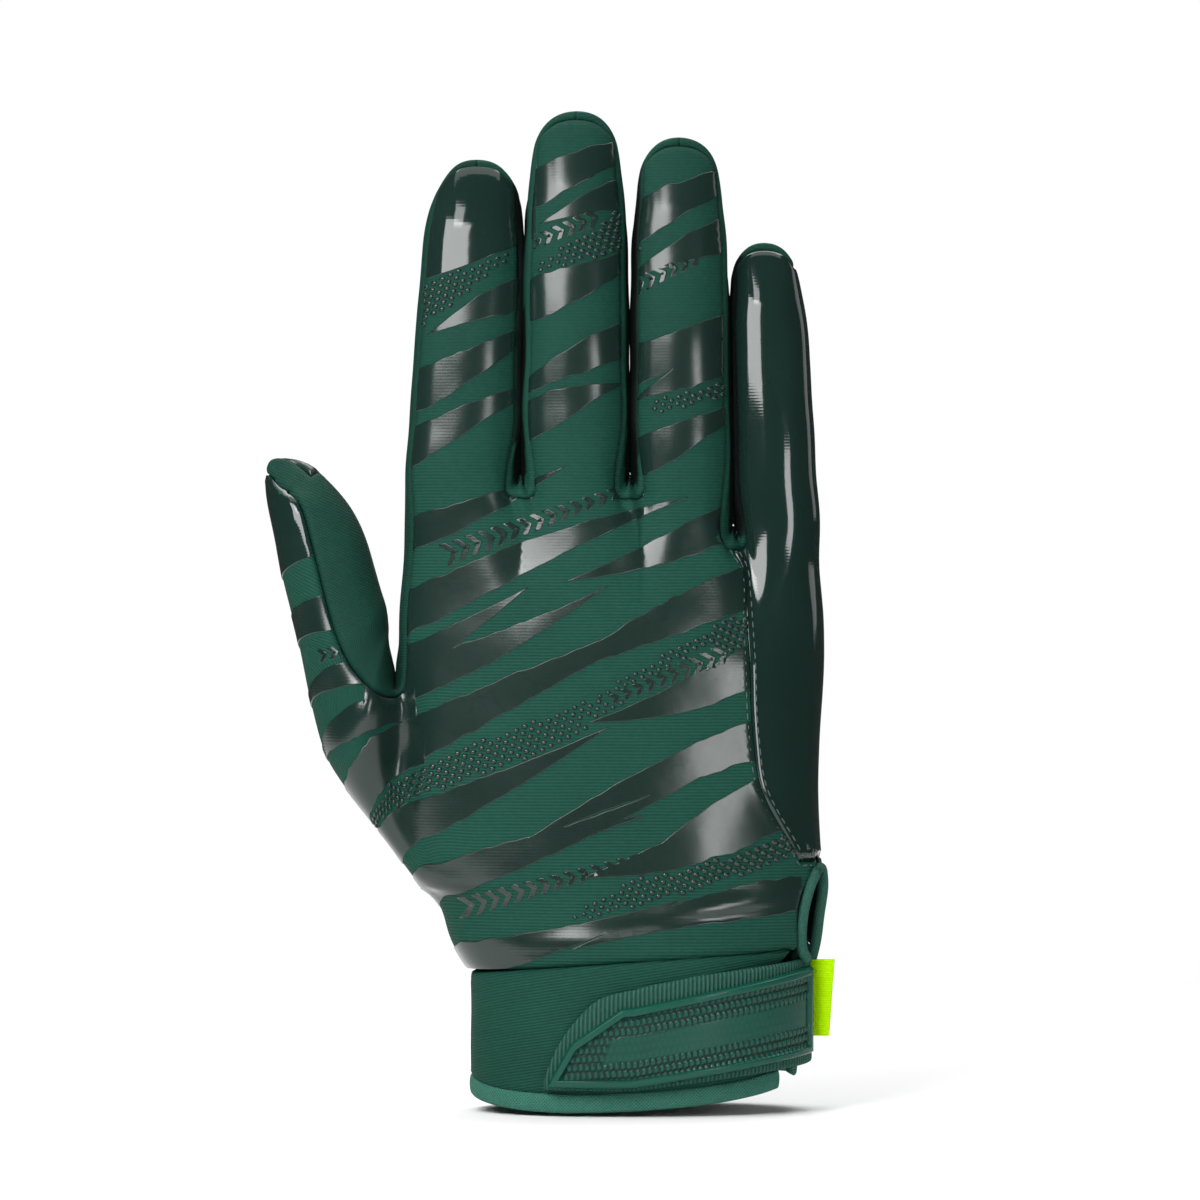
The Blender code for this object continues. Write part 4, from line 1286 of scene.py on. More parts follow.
def studs(plan_map, cover, film):
    """Small diamond studs of film between the stripes."""
    found = stud_spots(cover)
    outside = plan_map.find([spot for spot, _, _, _ in found])[2]
    angles = np.arange(STUD_SIDES) * 2 * np.pi / STUD_SIDES
    reach = np.abs(np.cos(angles)) ** STUD_ROUND + np.abs(np.sin(angles)) ** STUD_ROUND
    reach = 1 / reach ** (1 / STUD_ROUND)
    flat, lifts, faces = [], [], []
    for (spot, size, ahead, up), out in zip(found, outside):
        if out > 1e-4:
            continue
        start = len(flat)
        for wide, high in STUD_RINGS:
            for angle, far in zip(angles, reach):
                step = ahead * math.cos(angle) * STUD_LONG + up * math.sin(angle) * STUD_SLIM
                flat.append(spot + step * far * size * wide)
                lifts.append(high * STUD_LIFT)
        flat.append(spot)
        lifts.append(STUD_LIFT)
        faces += ring_walls(start, len(STUD_RINGS), STUD_SIDES)
        last = start + (len(STUD_RINGS) - 1) * STUD_SIDES
        top = last + STUD_SIDES
        faces += [(last + k, last + (k + 1) % STUD_SIDES, top) for k in range(STUD_SIDES)]
    flat = np.array(flat)
    places, away, _ = plan_map.find(flat)
    plan = np.column_stack([flat, flat[:, 1]])
    return linked("film_studs", places + away * np.array(lifts)[:, None], faces, [film], None, plan)


def tip_cover(left, right, low, high, rise, sag, steps=22):
    """The outline of a glossy fingertip cover, with a slanting curved lower edge."""
    lower = [(left + (right - left) * s, low + rise * s - sag * 4 * s * (1 - s))
             for s in np.linspace(0.0, 1.0, steps)]
    return lower + [(right, high), (left, high)]


TIP_COVERS = (
    tip_cover(-56, -24, 188, 225, 12.0, 1.5),
    tip_cover(-112, -66, 115, 160, 15.0, 3.0),
)


class Nodes:
    """Builds a material's node tree."""

    def __init__(self, name):
        self.material = bpy.data.materials.new(name)
        self.material.use_nodes = True
        self.tree = self.material.node_tree
        self.shader = self.tree.nodes["Principled BSDF"]
        self.spot = self.add("TexCoord").outputs["Object"]

    def add(self, kind, settings=None, **inputs):
        node = self.tree.nodes.new("ShaderNode" + kind)
        for name, value in (settings or {}).items():
            setattr(node, name, value)
        for name, value in inputs.items():
            self.set(node, name.replace("_", " "), value)
        return node

    def set(self, node, name, value):
        socket = node.inputs[int(name)] if name.isdigit() else node.inputs[name]
        if isinstance(value, bpy.types.NodeSocket):
            self.tree.links.new(value, socket)
        else:
            socket.default_value = value

    def math(self, operation, a, b=0.0, c=0.0):
        node = self.tree.nodes.new("ShaderNodeMath")
        node.operation = operation
        for i, value in enumerate((a, b, c)):
            self.set(node, str(i), value)
        return node.outputs[0]

    def mix(self, share, a, b):
        node = self.tree.nodes.new("ShaderNodeMix")
        node.data_type = "RGBA"
        for i, value in ((0, share), (6, a), (7, b)):
            self.set(node, str(i), value)
        return node.outputs[2]

    def scaled(self, value, by, plus=0.0):
        """The value times by, plus something."""
        return self.math("MULTIPLY_ADD", value, by, plus)

    def plan(self):
        """Across, up and along the ribs, in millimetres."""
        attribute = self.add("Attribute", {"attribute_name": "plan"})
        return self.add("SeparateXYZ", Vector=attribute.outputs["Vector"]).outputs

    def noise(self, scale, detail=2.0):
        """Noise over the object, at a number of bumps to a metre."""
        return self.add("TexNoise", Vector=self.spot, Scale=scale, Detail=detail).outputs["Fac"]

    def wave(self, value, pitch, wobble=0.0):
        """From 0 to 1 and back over each pitch of the value."""
        turn = self.scaled(value, 2 * math.pi / pitch, wobble)
        return self.scaled(self.math("SINE", turn), 0.5, 0.5)

    def finish(self, base, roughness, shine, height=None, depth=0.0, strength=1.0):
        """The material. Depth is how many metres one unit of the height stands out."""
        self.set(self.shader, "Base Color", base)
        self.set(self.shader, "Roughness", roughness)
        self.set(self.shader, "Specular IOR Level", shine)
        if height is not None:
            bump = self.add("Bump", Height=height, Distance=depth, Strength=strength)
            self.set(self.shader, "Normal", bump.outputs["Normal"])
        return self.material


def colour(red, green, blue):
    return (red, green, blue, 1.0)


KNIT_DARK = colour(0.0030, 0.028, 0.0185)
KNIT_LIGHT = colour(0.0105, 0.072, 0.0470)
# The knit's colours darkened for the thumb's side, as painted shade where the thumb is shaded
SHADED_SIDE_DARK = colour(0.0024, 0.021, 0.0140)
SHADED_SIDE_LIGHT = colour(0.0072, 0.050, 0.0330)
# Near-black painted shade for the knit deep between two fingers
GAP_SHADE_COLOUR = colour(0.0005, 0.0012, 0.0010)
FILM_DARK = colour(0.0055, 0.0160, 0.0125)
FILM_LIGHT = colour(0.008, 0.022, 0.0172)
GRIP_DARK = colour(0.008, 0.020, 0.016)
GRIP_LIGHT = colour(0.014, 0.034, 0.027)
TAPE_DARK = (0.0075, 0.044, 0.031)
TAPE_LIGHT = (0.036, 0.148, 0.106)
STRAP_DARK = colour(0.0050, 0.034, 0.024)
STRAP_LIGHT = colour(0.028, 0.115, 0.082)
# Painted shade for the badge's low places and the grooves round its scales
RUBBER_GROOVE_SHADE = colour(0.0006, 0.016, 0.0105)
RUBBER_DARK = colour(0.0020, 0.052, 0.033)
RUBBER_LIGHT = colour(0.0034, 0.070, 0.045)
LINING_DARK = colour(0.010, 0.030, 0.023)
LINING_LIGHT = colour(0.020, 0.060, 0.046)
LABEL_DARK = colour(0.31, 0.62, 0.0)
LABEL_LIGHT = colour(0.50, 0.92, 0.0)
THREAD_DARK = colour(0.030, 0.060, 0.050)
THREAD_LIGHT = colour(0.075, 0.110, 0.095)
FLOOR_DARK = colour(0.86, 0.86, 0.86)
FLOOR_LIGHT = colour(0.90, 0.90, 0.90)

# Heights in the plan, in millimetres, between which the ribs of the knit fade up the fingers
RIB_FADE_LOW = 125.0
RIB_FADE_HIGH = 165.0
RIB_FADE_TO = 0.35
# Millimetres from strand to strand of the braided binding, and from weft to weft of the strap
TAPE_PITCH = 0.80
STRAP_WEFT = 0.42
FILM_WEAVE = 0.72
# Metres from weft to weft of the label
LABEL_WEFT = 0.00042


def knit_material(name, pitch, weft, depth=0.00009, light=KNIT_LIGHT, dark=KNIT_DARK, shade_gaps=False):
    """Ribbed knit: fine ridges along the rib coordinate, with loops across them. Its colour is lighter on
    the ridges and darker in the grooves, as painted shade, over random tone from noise. Where hollow is
    set it is also darkened with painted shade where another finger faces it close by, as deep between two
    fingers."""
    nodes = Nodes(name)
    across, _, rib = nodes.plan()
    slow = nodes.noise(45.0, 3.0)
    quick = nodes.noise(900.0)
    ridge = nodes.wave(rib, pitch, nodes.scaled(slow, 3.0, nodes.scaled(quick, 0.9)))
    fade = nodes.add("MapRange", Value=rib, From_Min=RIB_FADE_LOW, From_Max=RIB_FADE_HIGH,
                     To_Min=1.0, To_Max=RIB_FADE_TO)
    ridge = nodes.math("MULTIPLY", ridge, fade.outputs["Result"])
    half = nodes.scaled(nodes.math("FLOOR", nodes.math("DIVIDE", rib, pitch)), math.pi)
    height = nodes.scaled(quick, 0.5, nodes.scaled(nodes.wave(across, weft, half), 0.22, ridge))
    # Painted shade: lighter on the ribs' ridges, darker in their grooves, over random tone
    shade = nodes.scaled(ridge, 0.55, nodes.scaled(quick, 0.35, -0.12))
    base = nodes.mix(nodes.scaled(slow, 0.35, shade), dark, light)
    if shade_gaps:
        # Painted shade: darker where another finger faces this side close by
        deep = nodes.add("Attribute", {"attribute_name": "gap_shade"}).outputs["Fac"]
        base = nodes.mix(nodes.scaled(deep, 0.96), base, GAP_SHADE_COLOUR)
    return nodes.finish(base, 0.72, 0.12, height, depth, 0.9)


def film_material(name, roughness, grain):
    """Heat-pressed film: dark and glossy, with the knit showing through faintly."""
    nodes = Nodes(name)
    _, _, rib = nodes.plan()
    slow = nodes.noise(60.0, 3.0)
    quick = nodes.noise(700.0)
    weave = nodes.scaled(nodes.wave(rib, FILM_WEAVE), 0.12)
    height = nodes.scaled(quick, 0.15, nodes.scaled(slow, 6.0, weave))
    rough = nodes.scaled(quick, 0.06, roughness - 0.03)
    return nodes.finish(nodes.mix(slow, FILM_DARK, FILM_LIGHT), rough, 0.5, height, grain)


def grip_material():
    """Tacky palm: dark and softly glossy, with a fine pebble grain."""
    nodes = Nodes("grip")
    cells = nodes.add("TexVoronoi", Vector=nodes.spot, Scale=900.0)
    slow = nodes.noise(50.0, 3.0)
    height = nodes.scaled(slow, 2.0, cells.outputs["Distance"])
    rough = nodes.scaled(slow, 0.14, 0.30)
    return nodes.finish(nodes.mix(slow, GRIP_DARK, GRIP_LIGHT), rough, 0.5, height, 0.00005)


def tape_material(name, lift):
    """Braided binding: small slanted strands both ways. Lift brightens it: the hem's copy is lifted and
    the slit binding's lowered to match how each is lit, as painted light and painted shade.
    """
    nodes = Nodes(name)
    along, across, _ = nodes.plan()
    left = nodes.wave(nodes.math("ADD", along, across), TAPE_PITCH)
    right = nodes.wave(nodes.math("SUBTRACT", along, across), TAPE_PITCH)
    weave = nodes.math("MAXIMUM", left, right)
    quick = nodes.noise(1100.0)
    slow = nodes.noise(80.0)
    shade = nodes.scaled(quick, 0.4, nodes.scaled(weave, 0.7, -0.25))
    dark, light = (colour(*(part * lift for part in tone)) for tone in (TAPE_DARK, TAPE_LIGHT))
    base = nodes.mix(nodes.scaled(slow, 0.3, shade), dark, light)
    return nodes.finish(base, 0.78, 0.2, nodes.scaled(quick, 0.5, weave), 0.00016)


def strap_material():
    """Ribbed strap cloth: the ribs stand across it, finely woven, with painted shade darkening their
    grooves.
    """
    nodes = Nodes("strap_look")
    _, up, along = nodes.plan()
    ridge = nodes.wave(along, STRAP_PITCH, math.pi / 2)
    weave = nodes.wave(nodes.math("ADD", up, along), STRAP_WEFT)
    quick = nodes.noise(1100.0)
    height = nodes.scaled(weave, 0.4, nodes.scaled(quick, 0.6, ridge))
    # Painted shade in the grooves between the ribs, with random tone from noise
    shade = nodes.scaled(ridge, 0.75, nodes.scaled(quick, 0.45, -0.12))
    return nodes.finish(nodes.mix(shade, STRAP_DARK, STRAP_LIGHT), 0.7, 0.2, height, 0.00012, 0.9)


def rubber_material():
    """Moulded badge rubber: glossy on its ridges and frame, and darkened with painted shade where it lies
    low, as in the grooves round its scales. The third plan coordinate says how raised a place is, from 0
    to 1."""
    nodes = Nodes("badge_rubber_look")
    _, _, raised = nodes.plan()
    slow = nodes.noise(70.0, 3.0)
    quick = nodes.noise(1500.0)
    base = nodes.mix(raised, RUBBER_GROOVE_SHADE, nodes.mix(slow, RUBBER_DARK, RUBBER_LIGHT))
    rough = nodes.scaled(quick, 0.06, nodes.scaled(raised, -0.30, 0.46))
    return nodes.finish(base, rough, 0.28, quick, 0.00001)


def lining_material():
    nodes = Nodes("lining")
    quick = nodes.noise(1200.0, 3.0)
    return nodes.finish(nodes.mix(quick, LINING_DARK, LINING_LIGHT), 0.9, 0.15, quick, 0.00008)


def label_material():
    """Woven lime label, left blank."""
    nodes = Nodes("lime_label_look")
    height_up = nodes.add("SeparateXYZ", Vector=nodes.spot).outputs[2]
    weft = nodes.wave(height_up, LABEL_WEFT)
    quick = nodes.noise(1600.0)
    shade = nodes.scaled(quick, 0.5, nodes.scaled(weft, 0.5))
    base = nodes.mix(shade, LABEL_DARK, LABEL_LIGHT)
    return nodes.finish(base, 0.7, 0.05, nodes.scaled(quick, 0.6, weft), 0.00005)


def thread_material():
    nodes = Nodes("thread")
    twist = nodes.noise(2500.0, 1.0)
    return nodes.finish(nodes.mix(twist, THREAD_DARK, THREAD_LIGHT), 0.5, 0.5, twist, 0.00004)


def cuff_section(turn):
    """Points on the unit section of the cuff, a rounded oval."""
    power = 2 / CUFF_ROUNDNESS
    c, s = np.cos(turn), np.sin(turn)
    return np.sign(c) * np.abs(c) ** power, np.sign(s) * np.abs(s) ** power


def cuff_turn(distance, half_size):
    return math.asin((distance / half_size) ** (CUFF_ROUNDNESS / 2))


def rim_z(x, y):
    share = np.maximum(-y / (CUFF_DEPTH / 2), 0.0)
    return RIM_SLOPE * (x - CUFF_CENTRE) - FRONT_DROP * share ** FRONT_DROP_POWER


def smooth(value):
    value = np.clip(value, 0.0, 1.0)
    return value * value * (3 - 2 * value)


def grid_faces(rows, columns):
    corner = np.arange((rows - 1) * columns).reshape(rows - 1, columns)[:, :-1].ravel()
    return np.stack([corner, corner + 1, corner + columns + 1, corner + columns], 1)


CUFF_COLUMNS = 420
# How far the band goes down inside the hem, the groove over the hem, and how much rounder the
# hem stands out than its solid
TUCK = 0.0012
GROOVE = 0.0004
HEM_SWELL = 0.0001
CUFF_PITCH = 0.68
# How much the band's ribs climb on their way round, and where its flare begins, up its height
CUFF_RIB_SLANT = 0.16
FLARE_START = 0.86
# Shares of the band's height over which it comes in at its top, and out of the groove
BAND_TOP_FADE = 0.14
BAND_GROOVE = (0.02, 0.05)
# Metres over which the edges of the hem and the strap turn in
ROUND_EDGE = 0.0010


def cuff_grid(part, levels, proud):
    """Points of the cuff's band or hem, and their plan: distance round and height."""
    start = -cuff_turn(SLIT_FRONT, CUFF_DEPTH / 2)
    end = -2 * math.pi - cuff_turn(SLIT_BACK, CUFF_DEPTH / 2)
    turns = np.linspace(start, end, CUFF_COLUMNS)
    across, deep = cuff_section(turns)
    level = np.asarray(levels)[:, None]
    proud = np.asarray(proud)[:, None]
    x = CUFF_CENTRE + across * (CUFF_WIDTH / 2 + proud)
    y = deep * (CUFF_DEPTH / 2 + proud)
    if part == "band":
        rise = smooth((level - FLARE_START) / (1 - FLARE_START))
        x = x + CUFF_FLARE * np.maximum(across, 0.0) ** 3 * rise
    rim = rim_z(x, y)
    hem = rim + HEM_HEIGHT
    if part == "hem":
        z = rim + (hem - rim) * level
    else:
        low = hem - TUCK
        z = low + (cuff_seam_z(x) + SEAM_GAP / 4 - low) * level
    points = np.stack([x, y, z], -1)
    around = np.broadcast_to(lengths_along(points[0]) / MM, x.shape)
    plan = np.stack([around, z / MM, z / MM], -1)
    faces = grid_faces(len(levels), CUFF_COLUMNS)[:, ::-1]
    return points.reshape(-1, 3), plan.reshape(-1, 3), faces


def make_cuff(knit, tape, lining):
    levels = np.linspace(0.0, 1.0, 46)
    groove_start, groove_over = BAND_GROOVE
    proud = CUFF_PROUD * smooth((1.0 - levels) / BAND_TOP_FADE)
    proud -= GROOVE * (1 - smooth((levels - groove_start) / groove_over))
    points, plan, faces = cuff_grid("band", levels, proud)
    plan[:, 2] = plan[:, 1] + plan[:, 0] * CUFF_RIB_SLANT
    relief = unevenness(points, 0.012, 0.0003, 3.0)
    band = Piece(points, faces, plan, relief, CUFF_SEAM)
    obj = band.build("ribbed_cuff", CUFF_WALL, [knit, lining])
    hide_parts("cuff_band")
    levels = np.concatenate([[0.0, 0.03, 0.08], np.linspace(0.15, 0.85, 12), [0.92, 0.97, 1.0]])
    roll = np.sin(np.pi * np.clip(levels, 0.004, 0.996)) ** 0.5
    proud = CUFF_PROUD - GROOVE + (HEM_PROUD + GROOVE + HEM_SWELL) * roll
    points, plan, faces = cuff_grid("hem", levels, proud)
    relief = unevenness(points, 0.010, 0.00018, 5.0)
    hem = Piece(points, faces, plan, relief, NO_SEAM)
    obj = hem.build("bound_hem", HEM_WALL, [tape, tape], ROUND_EDGE)
    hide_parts("cuff_hem")


class StrapPath:
    """The strap's line round the outside of the cuff, from its pointed end at the back of the
    hand, past the little finger's side, to its sewn end at the palm."""

    def __init__(self, stand_off, steps=900):
        start = -math.pi / 2 - cuff_turn(STRAP_FRONT_REACH, CUFF_WIDTH / 2)
        end = math.pi / 2 - cuff_turn(STRAP_BACK_REACH, CUFF_WIDTH / 2)
        across, deep = cuff_section(np.linspace(start, end, steps + 1))
        slack = STRAP_SLACK * np.maximum(across, 0.0) ** 3
        x = CUFF_CENTRE + across * (CUFF_WIDTH / 2 + stand_off) + slack
        self.spots = np.stack([x, deep * (CUFF_DEPTH / 2 + stand_off)], 1)
        self.lengths = lengths_along(self.spots)
        ahead = unit(np.gradient(self.spots, axis=0))
        self.out = np.stack([ahead[:, 1], -ahead[:, 0]], 1)

    def at(self, distance):
        """Points and outward directions at distances along the path."""
        spot = at_lengths(distance, self.lengths, self.spots)
        return spot, unit(at_lengths(distance, self.lengths, self.out))

    def grid(self, distances, rise):
        """Points that stand rise above the strap's lower line, and the ways out there."""
        spot, out = self.at(distances)
        z = strap_low(spot[:, 0]) + rise
        x, y = (np.broadcast_to(part, z.shape) for part in spot.T)
        away = np.broadcast_to(np.column_stack([out, np.zeros(len(out))]), z.shape + (3,))
        return np.stack([x, y, z], -1).reshape(-1, 3), away.reshape(-1, 3)


def strap_low(x):
    return STRAP_LOW + STRAP_SLOPE * np.maximum(x - CUFF_CENTRE, 0.0)


def eased(columns, distances):
    """Lower and upper edges at distances, on a smooth curve through the columns."""
    turn = np.linspace(0, len(columns) - 1, 400)
    index = np.clip(turn.astype(int), 0, len(columns) - 2)
    part = turn - index
    found = []
    for values in np.array(columns).T:
        padded = with_ends(values)
        found.append(curve(*(padded[index + i] for i in range(4)), part))
    along, low, high = found
    return np.interp(distances, along, low), np.interp(distances, along, high)


STRAP_PITCH = 1.02
STRAP_RIB = 0.00016
# How far the strap's outer side stands off the cuff's section
STRAP_OFF = CUFF_PROUD + HEM_PROUD + SEAM_GAP + STRAP_WALL
# The strap's pointed end, with points closer together, and the step between points after it
STRAP_POINT = 0.004
STRAP_STEP = 0.000204


def make_strap(tape, lining):
    path = StrapPath(STRAP_OFF)
    length = path.lengths[-1]
    distances = np.concatenate([np.linspace(0, STRAP_POINT, 26)[:-1],
                                np.arange(STRAP_POINT, length - 0.0011, STRAP_STEP),
                                [length - 0.0006, length]])
    shares = np.concatenate([[0, 0.012, 0.03, 0.055], np.linspace(0.09, 0.91, 19),
                             [0.945, 0.97, 0.988, 1]])
    low, high = eased(STRAP_END, distances / STRAP_HEIGHT)
    rise = STRAP_HEIGHT * (low + (high - low) * shares[:, None])
    points, away = path.grid(distances, rise)
    along = np.broadcast_to(distances / MM, rise.shape).ravel()
    plan = np.stack([along, points[:, 2] / MM, along], -1)
    slow = unevenness(points, 0.011, 0.00012, 8.0)
    relief = STRAP_RIB * (np.cos(along * 2 * np.pi / STRAP_PITCH) - 1) / 2 + slow
    piece = Piece(points, grid_faces(len(shares), len(distances)), plan, relief, NO_SEAM, away)
    obj = piece.build("ribbed_strap", STRAP_WALL, [tape, lining], ROUND_EDGE)
    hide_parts("wrist_strap")


CELL_PITCH = 1.40
CELL_ROW = 1.95
CELL_GROOVE = 0.08
CELL_ROUND = 0.42
CELL_DEPTH = 0.00036
CELL_SLANT = 0.055
BAR_LOW = 0.33
BAR_HIGH = 0.66
# Where the bar begins along the badge, how much its end leans, and its height, in plan
# millimetres and metres
BAR_START = 12.5
BAR_LEAN = 0.35
BAR_RISE = 0.00022
BADGE_FLOOR = -0.00030
BADGE_EDGE_DROP = 0.00025
# How much higher than its solid the badge's frame shows
FRAME_LIFT = 1.25
BADGE_ROWS = 105
BADGE_STEP = 0.00020


def cell_relief(along, up):
    """Height of the badge's mesh: small six-sided scales with narrow grooves between, 0 to 1."""
    best = np.full(along.shape, 9.0)
    row = np.floor(up / CELL_ROW)
    for step in (-1, 0, 1):
        level = row + step
        middle_up = (level + 0.5) * CELL_ROW
        shift = np.mod(level, 2) * CELL_PITCH / 2
        column = np.round((along - shift) / CELL_PITCH)
        for side in (-1, 0, 1):
            du = np.abs(along - shift - (column + side) * CELL_PITCH)
            dv = np.abs(up - middle_up)
            flat = du / (CELL_PITCH / 2)
            slope = (dv + du * 0.62) / (CELL_ROW * 0.5 + CELL_PITCH * 0.17)
            best = np.minimum(best, np.maximum(flat, slope))
    return smooth((1 - best - CELL_GROOVE) / CELL_ROUND)


def line_distance(loop, along, up):
    """How far each place of the badge is from the nearest side of a loop."""
    nearest = np.full(along.shape, 99.0)
    for a, b in zip(loop, np.roll(loop, -1, axis=0)):
        span = b - a
        t = np.clip(((along - a[0]) * span[0] + (up - a[1]) * span[1]) / np.dot(span, span), 0, 1)
        reach = np.hypot(along - a[0] - t * span[0], up - a[1] - t * span[1])
        nearest = np.minimum(nearest, reach)
    return nearest


def make_badge(rubber):
    """The moulded badge: a raised frame, a plain bar along its middle, and scales round that."""
    path = StrapPath(STRAP_OFF + SEAM_GAP + BADGE_WALL)
    corners = np.array(BADGE_CORNERS)
    distances = np.arange(corners[0, 0] * STRAP_HEIGHT, corners[-1, 0] * STRAP_HEIGHT, BADGE_STEP)
    low, high = (np.interp(distances / STRAP_HEIGHT, corners[:, 0], column) * STRAP_HEIGHT
                 for column in (corners[:, 1], corners[:, 2]))
    rise = low + (high - low) * np.linspace(0.0, 1.0, BADGE_ROWS)[:, None]
    along = np.broadcast_to(distances / MM, rise.shape)
    up = rise / MM
    loop = np.concatenate([corners[:, [0, 1]], corners[::-1, [0, 2]]]) * STRAP_HEIGHT / MM
    edge = line_distance(loop, along, up)
    rise_in = smooth(edge / 0.70)
    fall = smooth((edge - BADGE_FRAME / MM + 0.15) / 0.40)
    centre = (rise - low) / np.maximum(high - low, 1e-6)
    bar_edge = np.minimum(centre - BAR_LOW, BAR_HIGH - centre) * (high - low) / MM
    bar_edge = np.minimum(bar_edge, along - BAR_START - up * BAR_LEAN)
    bar = smooth(bar_edge / 0.35)
    cells = cell_relief(along, up - CELL_SLANT * along)
    inner = BADGE_FLOOR + CELL_DEPTH * cells * (1 - bar) + bar * BAR_RISE
    relief = BADGE_FRAME_RISE * FRAME_LIFT * rise_in * (1 - fall) + inner * fall
    relief = relief - BADGE_EDGE_DROP * (1 - rise_in)
    # How raised each place is; the rubber darkens low places with painted shade
    raised = np.maximum(1 - fall, np.maximum(cells, bar * 0.75))
    plan = np.stack([along, up, raised], -1).reshape(-1, 3)
    points, away = path.grid(distances, rise)
    piece = Piece(points, grid_faces(BADGE_ROWS, len(distances)), plan, relief.ravel(), NO_SEAM, away)
    obj = piece.build("moulded_badge", BADGE_WALL, [rubber, rubber])
    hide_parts("strap_badge")


def smooth_route(points, step):
    """Points at even steps on a smooth curve through the route's own points."""
    spots = np.array([tuple(p) for p in points])
    ends = with_ends(spots)
    found = [curve(*ends[i:i + 4], part)
             for i in range(len(spots) - 1) for part in np.linspace(0, 1, 16, endpoint=False)]
    found = np.array(found + [spots[-1]])
    lengths = lengths_along(found)
    where = np.linspace(0, lengths[-1], int(lengths[-1] / step) + 1)
    return at_lengths(where, lengths, found)


def tube(name, route, radius, sides, material):
    """A closed round tube along a route, with plan coordinates round and along it."""
    ahead = unit(np.gradient(route, axis=0))
    side = np.array([0.0, 1.0, 0.0])
    points, plan = [], []
    for spot, forward, length in zip(route, ahead, lengths_along(route)):
        side = side - forward * np.dot(side, forward)
        side /= np.linalg.norm(side)
        other = np.cross(forward, side)
        for k in range(sides):
            turn = 2 * math.pi * k / sides
            points.append(spot + (side * math.cos(turn) + other * math.sin(turn)) * radius)
            plan.append((length / MM, turn * radius / MM, length / MM))
    faces = ring_walls(0, len(route), sides)
    last = (len(route) - 1) * sides
    faces.append(tuple(reversed(range(sides))))
    faces.append(tuple(last + k for k in range(sides)))
    return linked(name, points, faces, [material], None, plan)


# The tape's last stretches, down behind the strap
BACK_TAIL = (-0.0020, 0.0, -0.0075)
FRONT_TAIL = (0.0014, 0.0012, -0.0036)
# Where the tape's bend at the top of the slit begins: shares of the way in and up to the top
SHOULDER_IN = 0.45
SHOULDER_UP = 0.82


def slit_tape_route(skin):
    """The middle of the tape bead: up the slit's front edge and down its back edge."""
    last = PALM_COLUMNS - 1
    clear = TAPE_RADIUS + SEAM_GAP * 2
    front, back = [], []
    for row in range(SLIT_TOP_ROW + 1, len(PALM_ROWS)):
        a = skin.points[palm_key(row, "d", last)]
        b = skin.points[palm_key(row, "w", 1)]
        across = (b - a).normalized()
        front.append(a + across * clear)
        back.append(b - across * clear)
    sides = (palm_key(SLIT_TOP_ROW, "d", last), palm_key(SLIT_TOP_ROW, "w", 1))
    top = (skin.points[sides[0]] + skin.points[sides[1]]) / 2
    top.z -= clear * 1.15
    shoulders = []
    for foot in (front[0], back[0]):
        spot = foot.lerp(top, SHOULDER_IN)
        spot.z = foot.z + (top.z - foot.z) * SHOULDER_UP
        shoulders.append(spot)
    for side in (front, back):
        side[-1].z += SEAM_GAP
    back.append(back[-1] + Vector(BACK_TAIL))
    front.append(front[-1] + Vector(FRONT_TAIL))
    return front[::-1] + [shoulders[0], top, shoulders[1]] + back


# How far the label's ends go in past its solid, to its seam
TAG_TUCK = 0.0010
TAG_SHEET = 0.00034
TAG_FOLD = 0.00045
TAG_ROWS = 26
# How the label hangs: its tilt in degrees, the sway of its loose side, and its size as shares of
# its solid's
TAG_TILT = 4.0
TAG_SWAY = 0.00035
TAG_WIDE = 0.94
TAG_TALL = 0.985


def make_tag(label):
    """The blank label: a folded tape standing out from the end of the badge."""
    low, high = (np.array(corner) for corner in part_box("side_tag"))
    middle = (low + high) / 2
    width, height = high[0] - low[0], high[2] - low[2]
    inner_end = -width / 2 - TAG_TUCK
    bend = [(width / 2 - TAG_FOLD + TAG_FOLD * math.sin(t), -TAG_FOLD * math.cos(t))
            for t in np.linspace(0, math.pi, 9)]
    profile = np.array([(inner_end, -TAG_FOLD)] + bend + [(inner_end, TAG_FOLD)])
    ahead = unit(np.gradient(profile, axis=0))
    out = np.stack([ahead[:, 1], -ahead[:, 0]], 1)
    inner = profile - out * TAG_SHEET
    points = []
    for i in range(TAG_ROWS):
        share = i / (TAG_ROWS - 1) - 0.5
        lean = math.radians(TAG_TILT) * share * height
        sway = TAG_SWAY * math.sin(share * 5.0 + 0.6)
        for x, y in np.concatenate([profile, inner[::-1]]):
            swing = sway * (x + width / 2) / width
            spot = np.array([x * TAG_WIDE + lean, y + swing, share * height * TAG_TALL])
            points.append(middle + spot)
    ring = len(profile) * 2
    faces = ring_walls(0, TAG_ROWS, ring)
    top = (TAG_ROWS - 1) * ring
    half = len(profile)
    for k in range(half - 1):
        a, b = k, k + 1
        c, d = ring - 2 - k, ring - 1 - k
        faces.append((d, c, b, a))
        faces.append((top + a, top + b, top + c, top + d))
    obj = linked("blank_label", points, faces, [label])
    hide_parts("side_tag")


STITCH_LENGTH = 0.0017
STITCH_GAP = 0.0008
STITCH_RADIUS = 0.00016
STITCH_SIDES = 6
# Each ring of a stitch: how far along it, and its thickness
STITCH_RINGS = ((0.0, 0.25), (0.12, 0.8), (0.35, 1.0), (0.65, 1.0), (0.88, 0.8), (1.0, 0.25))


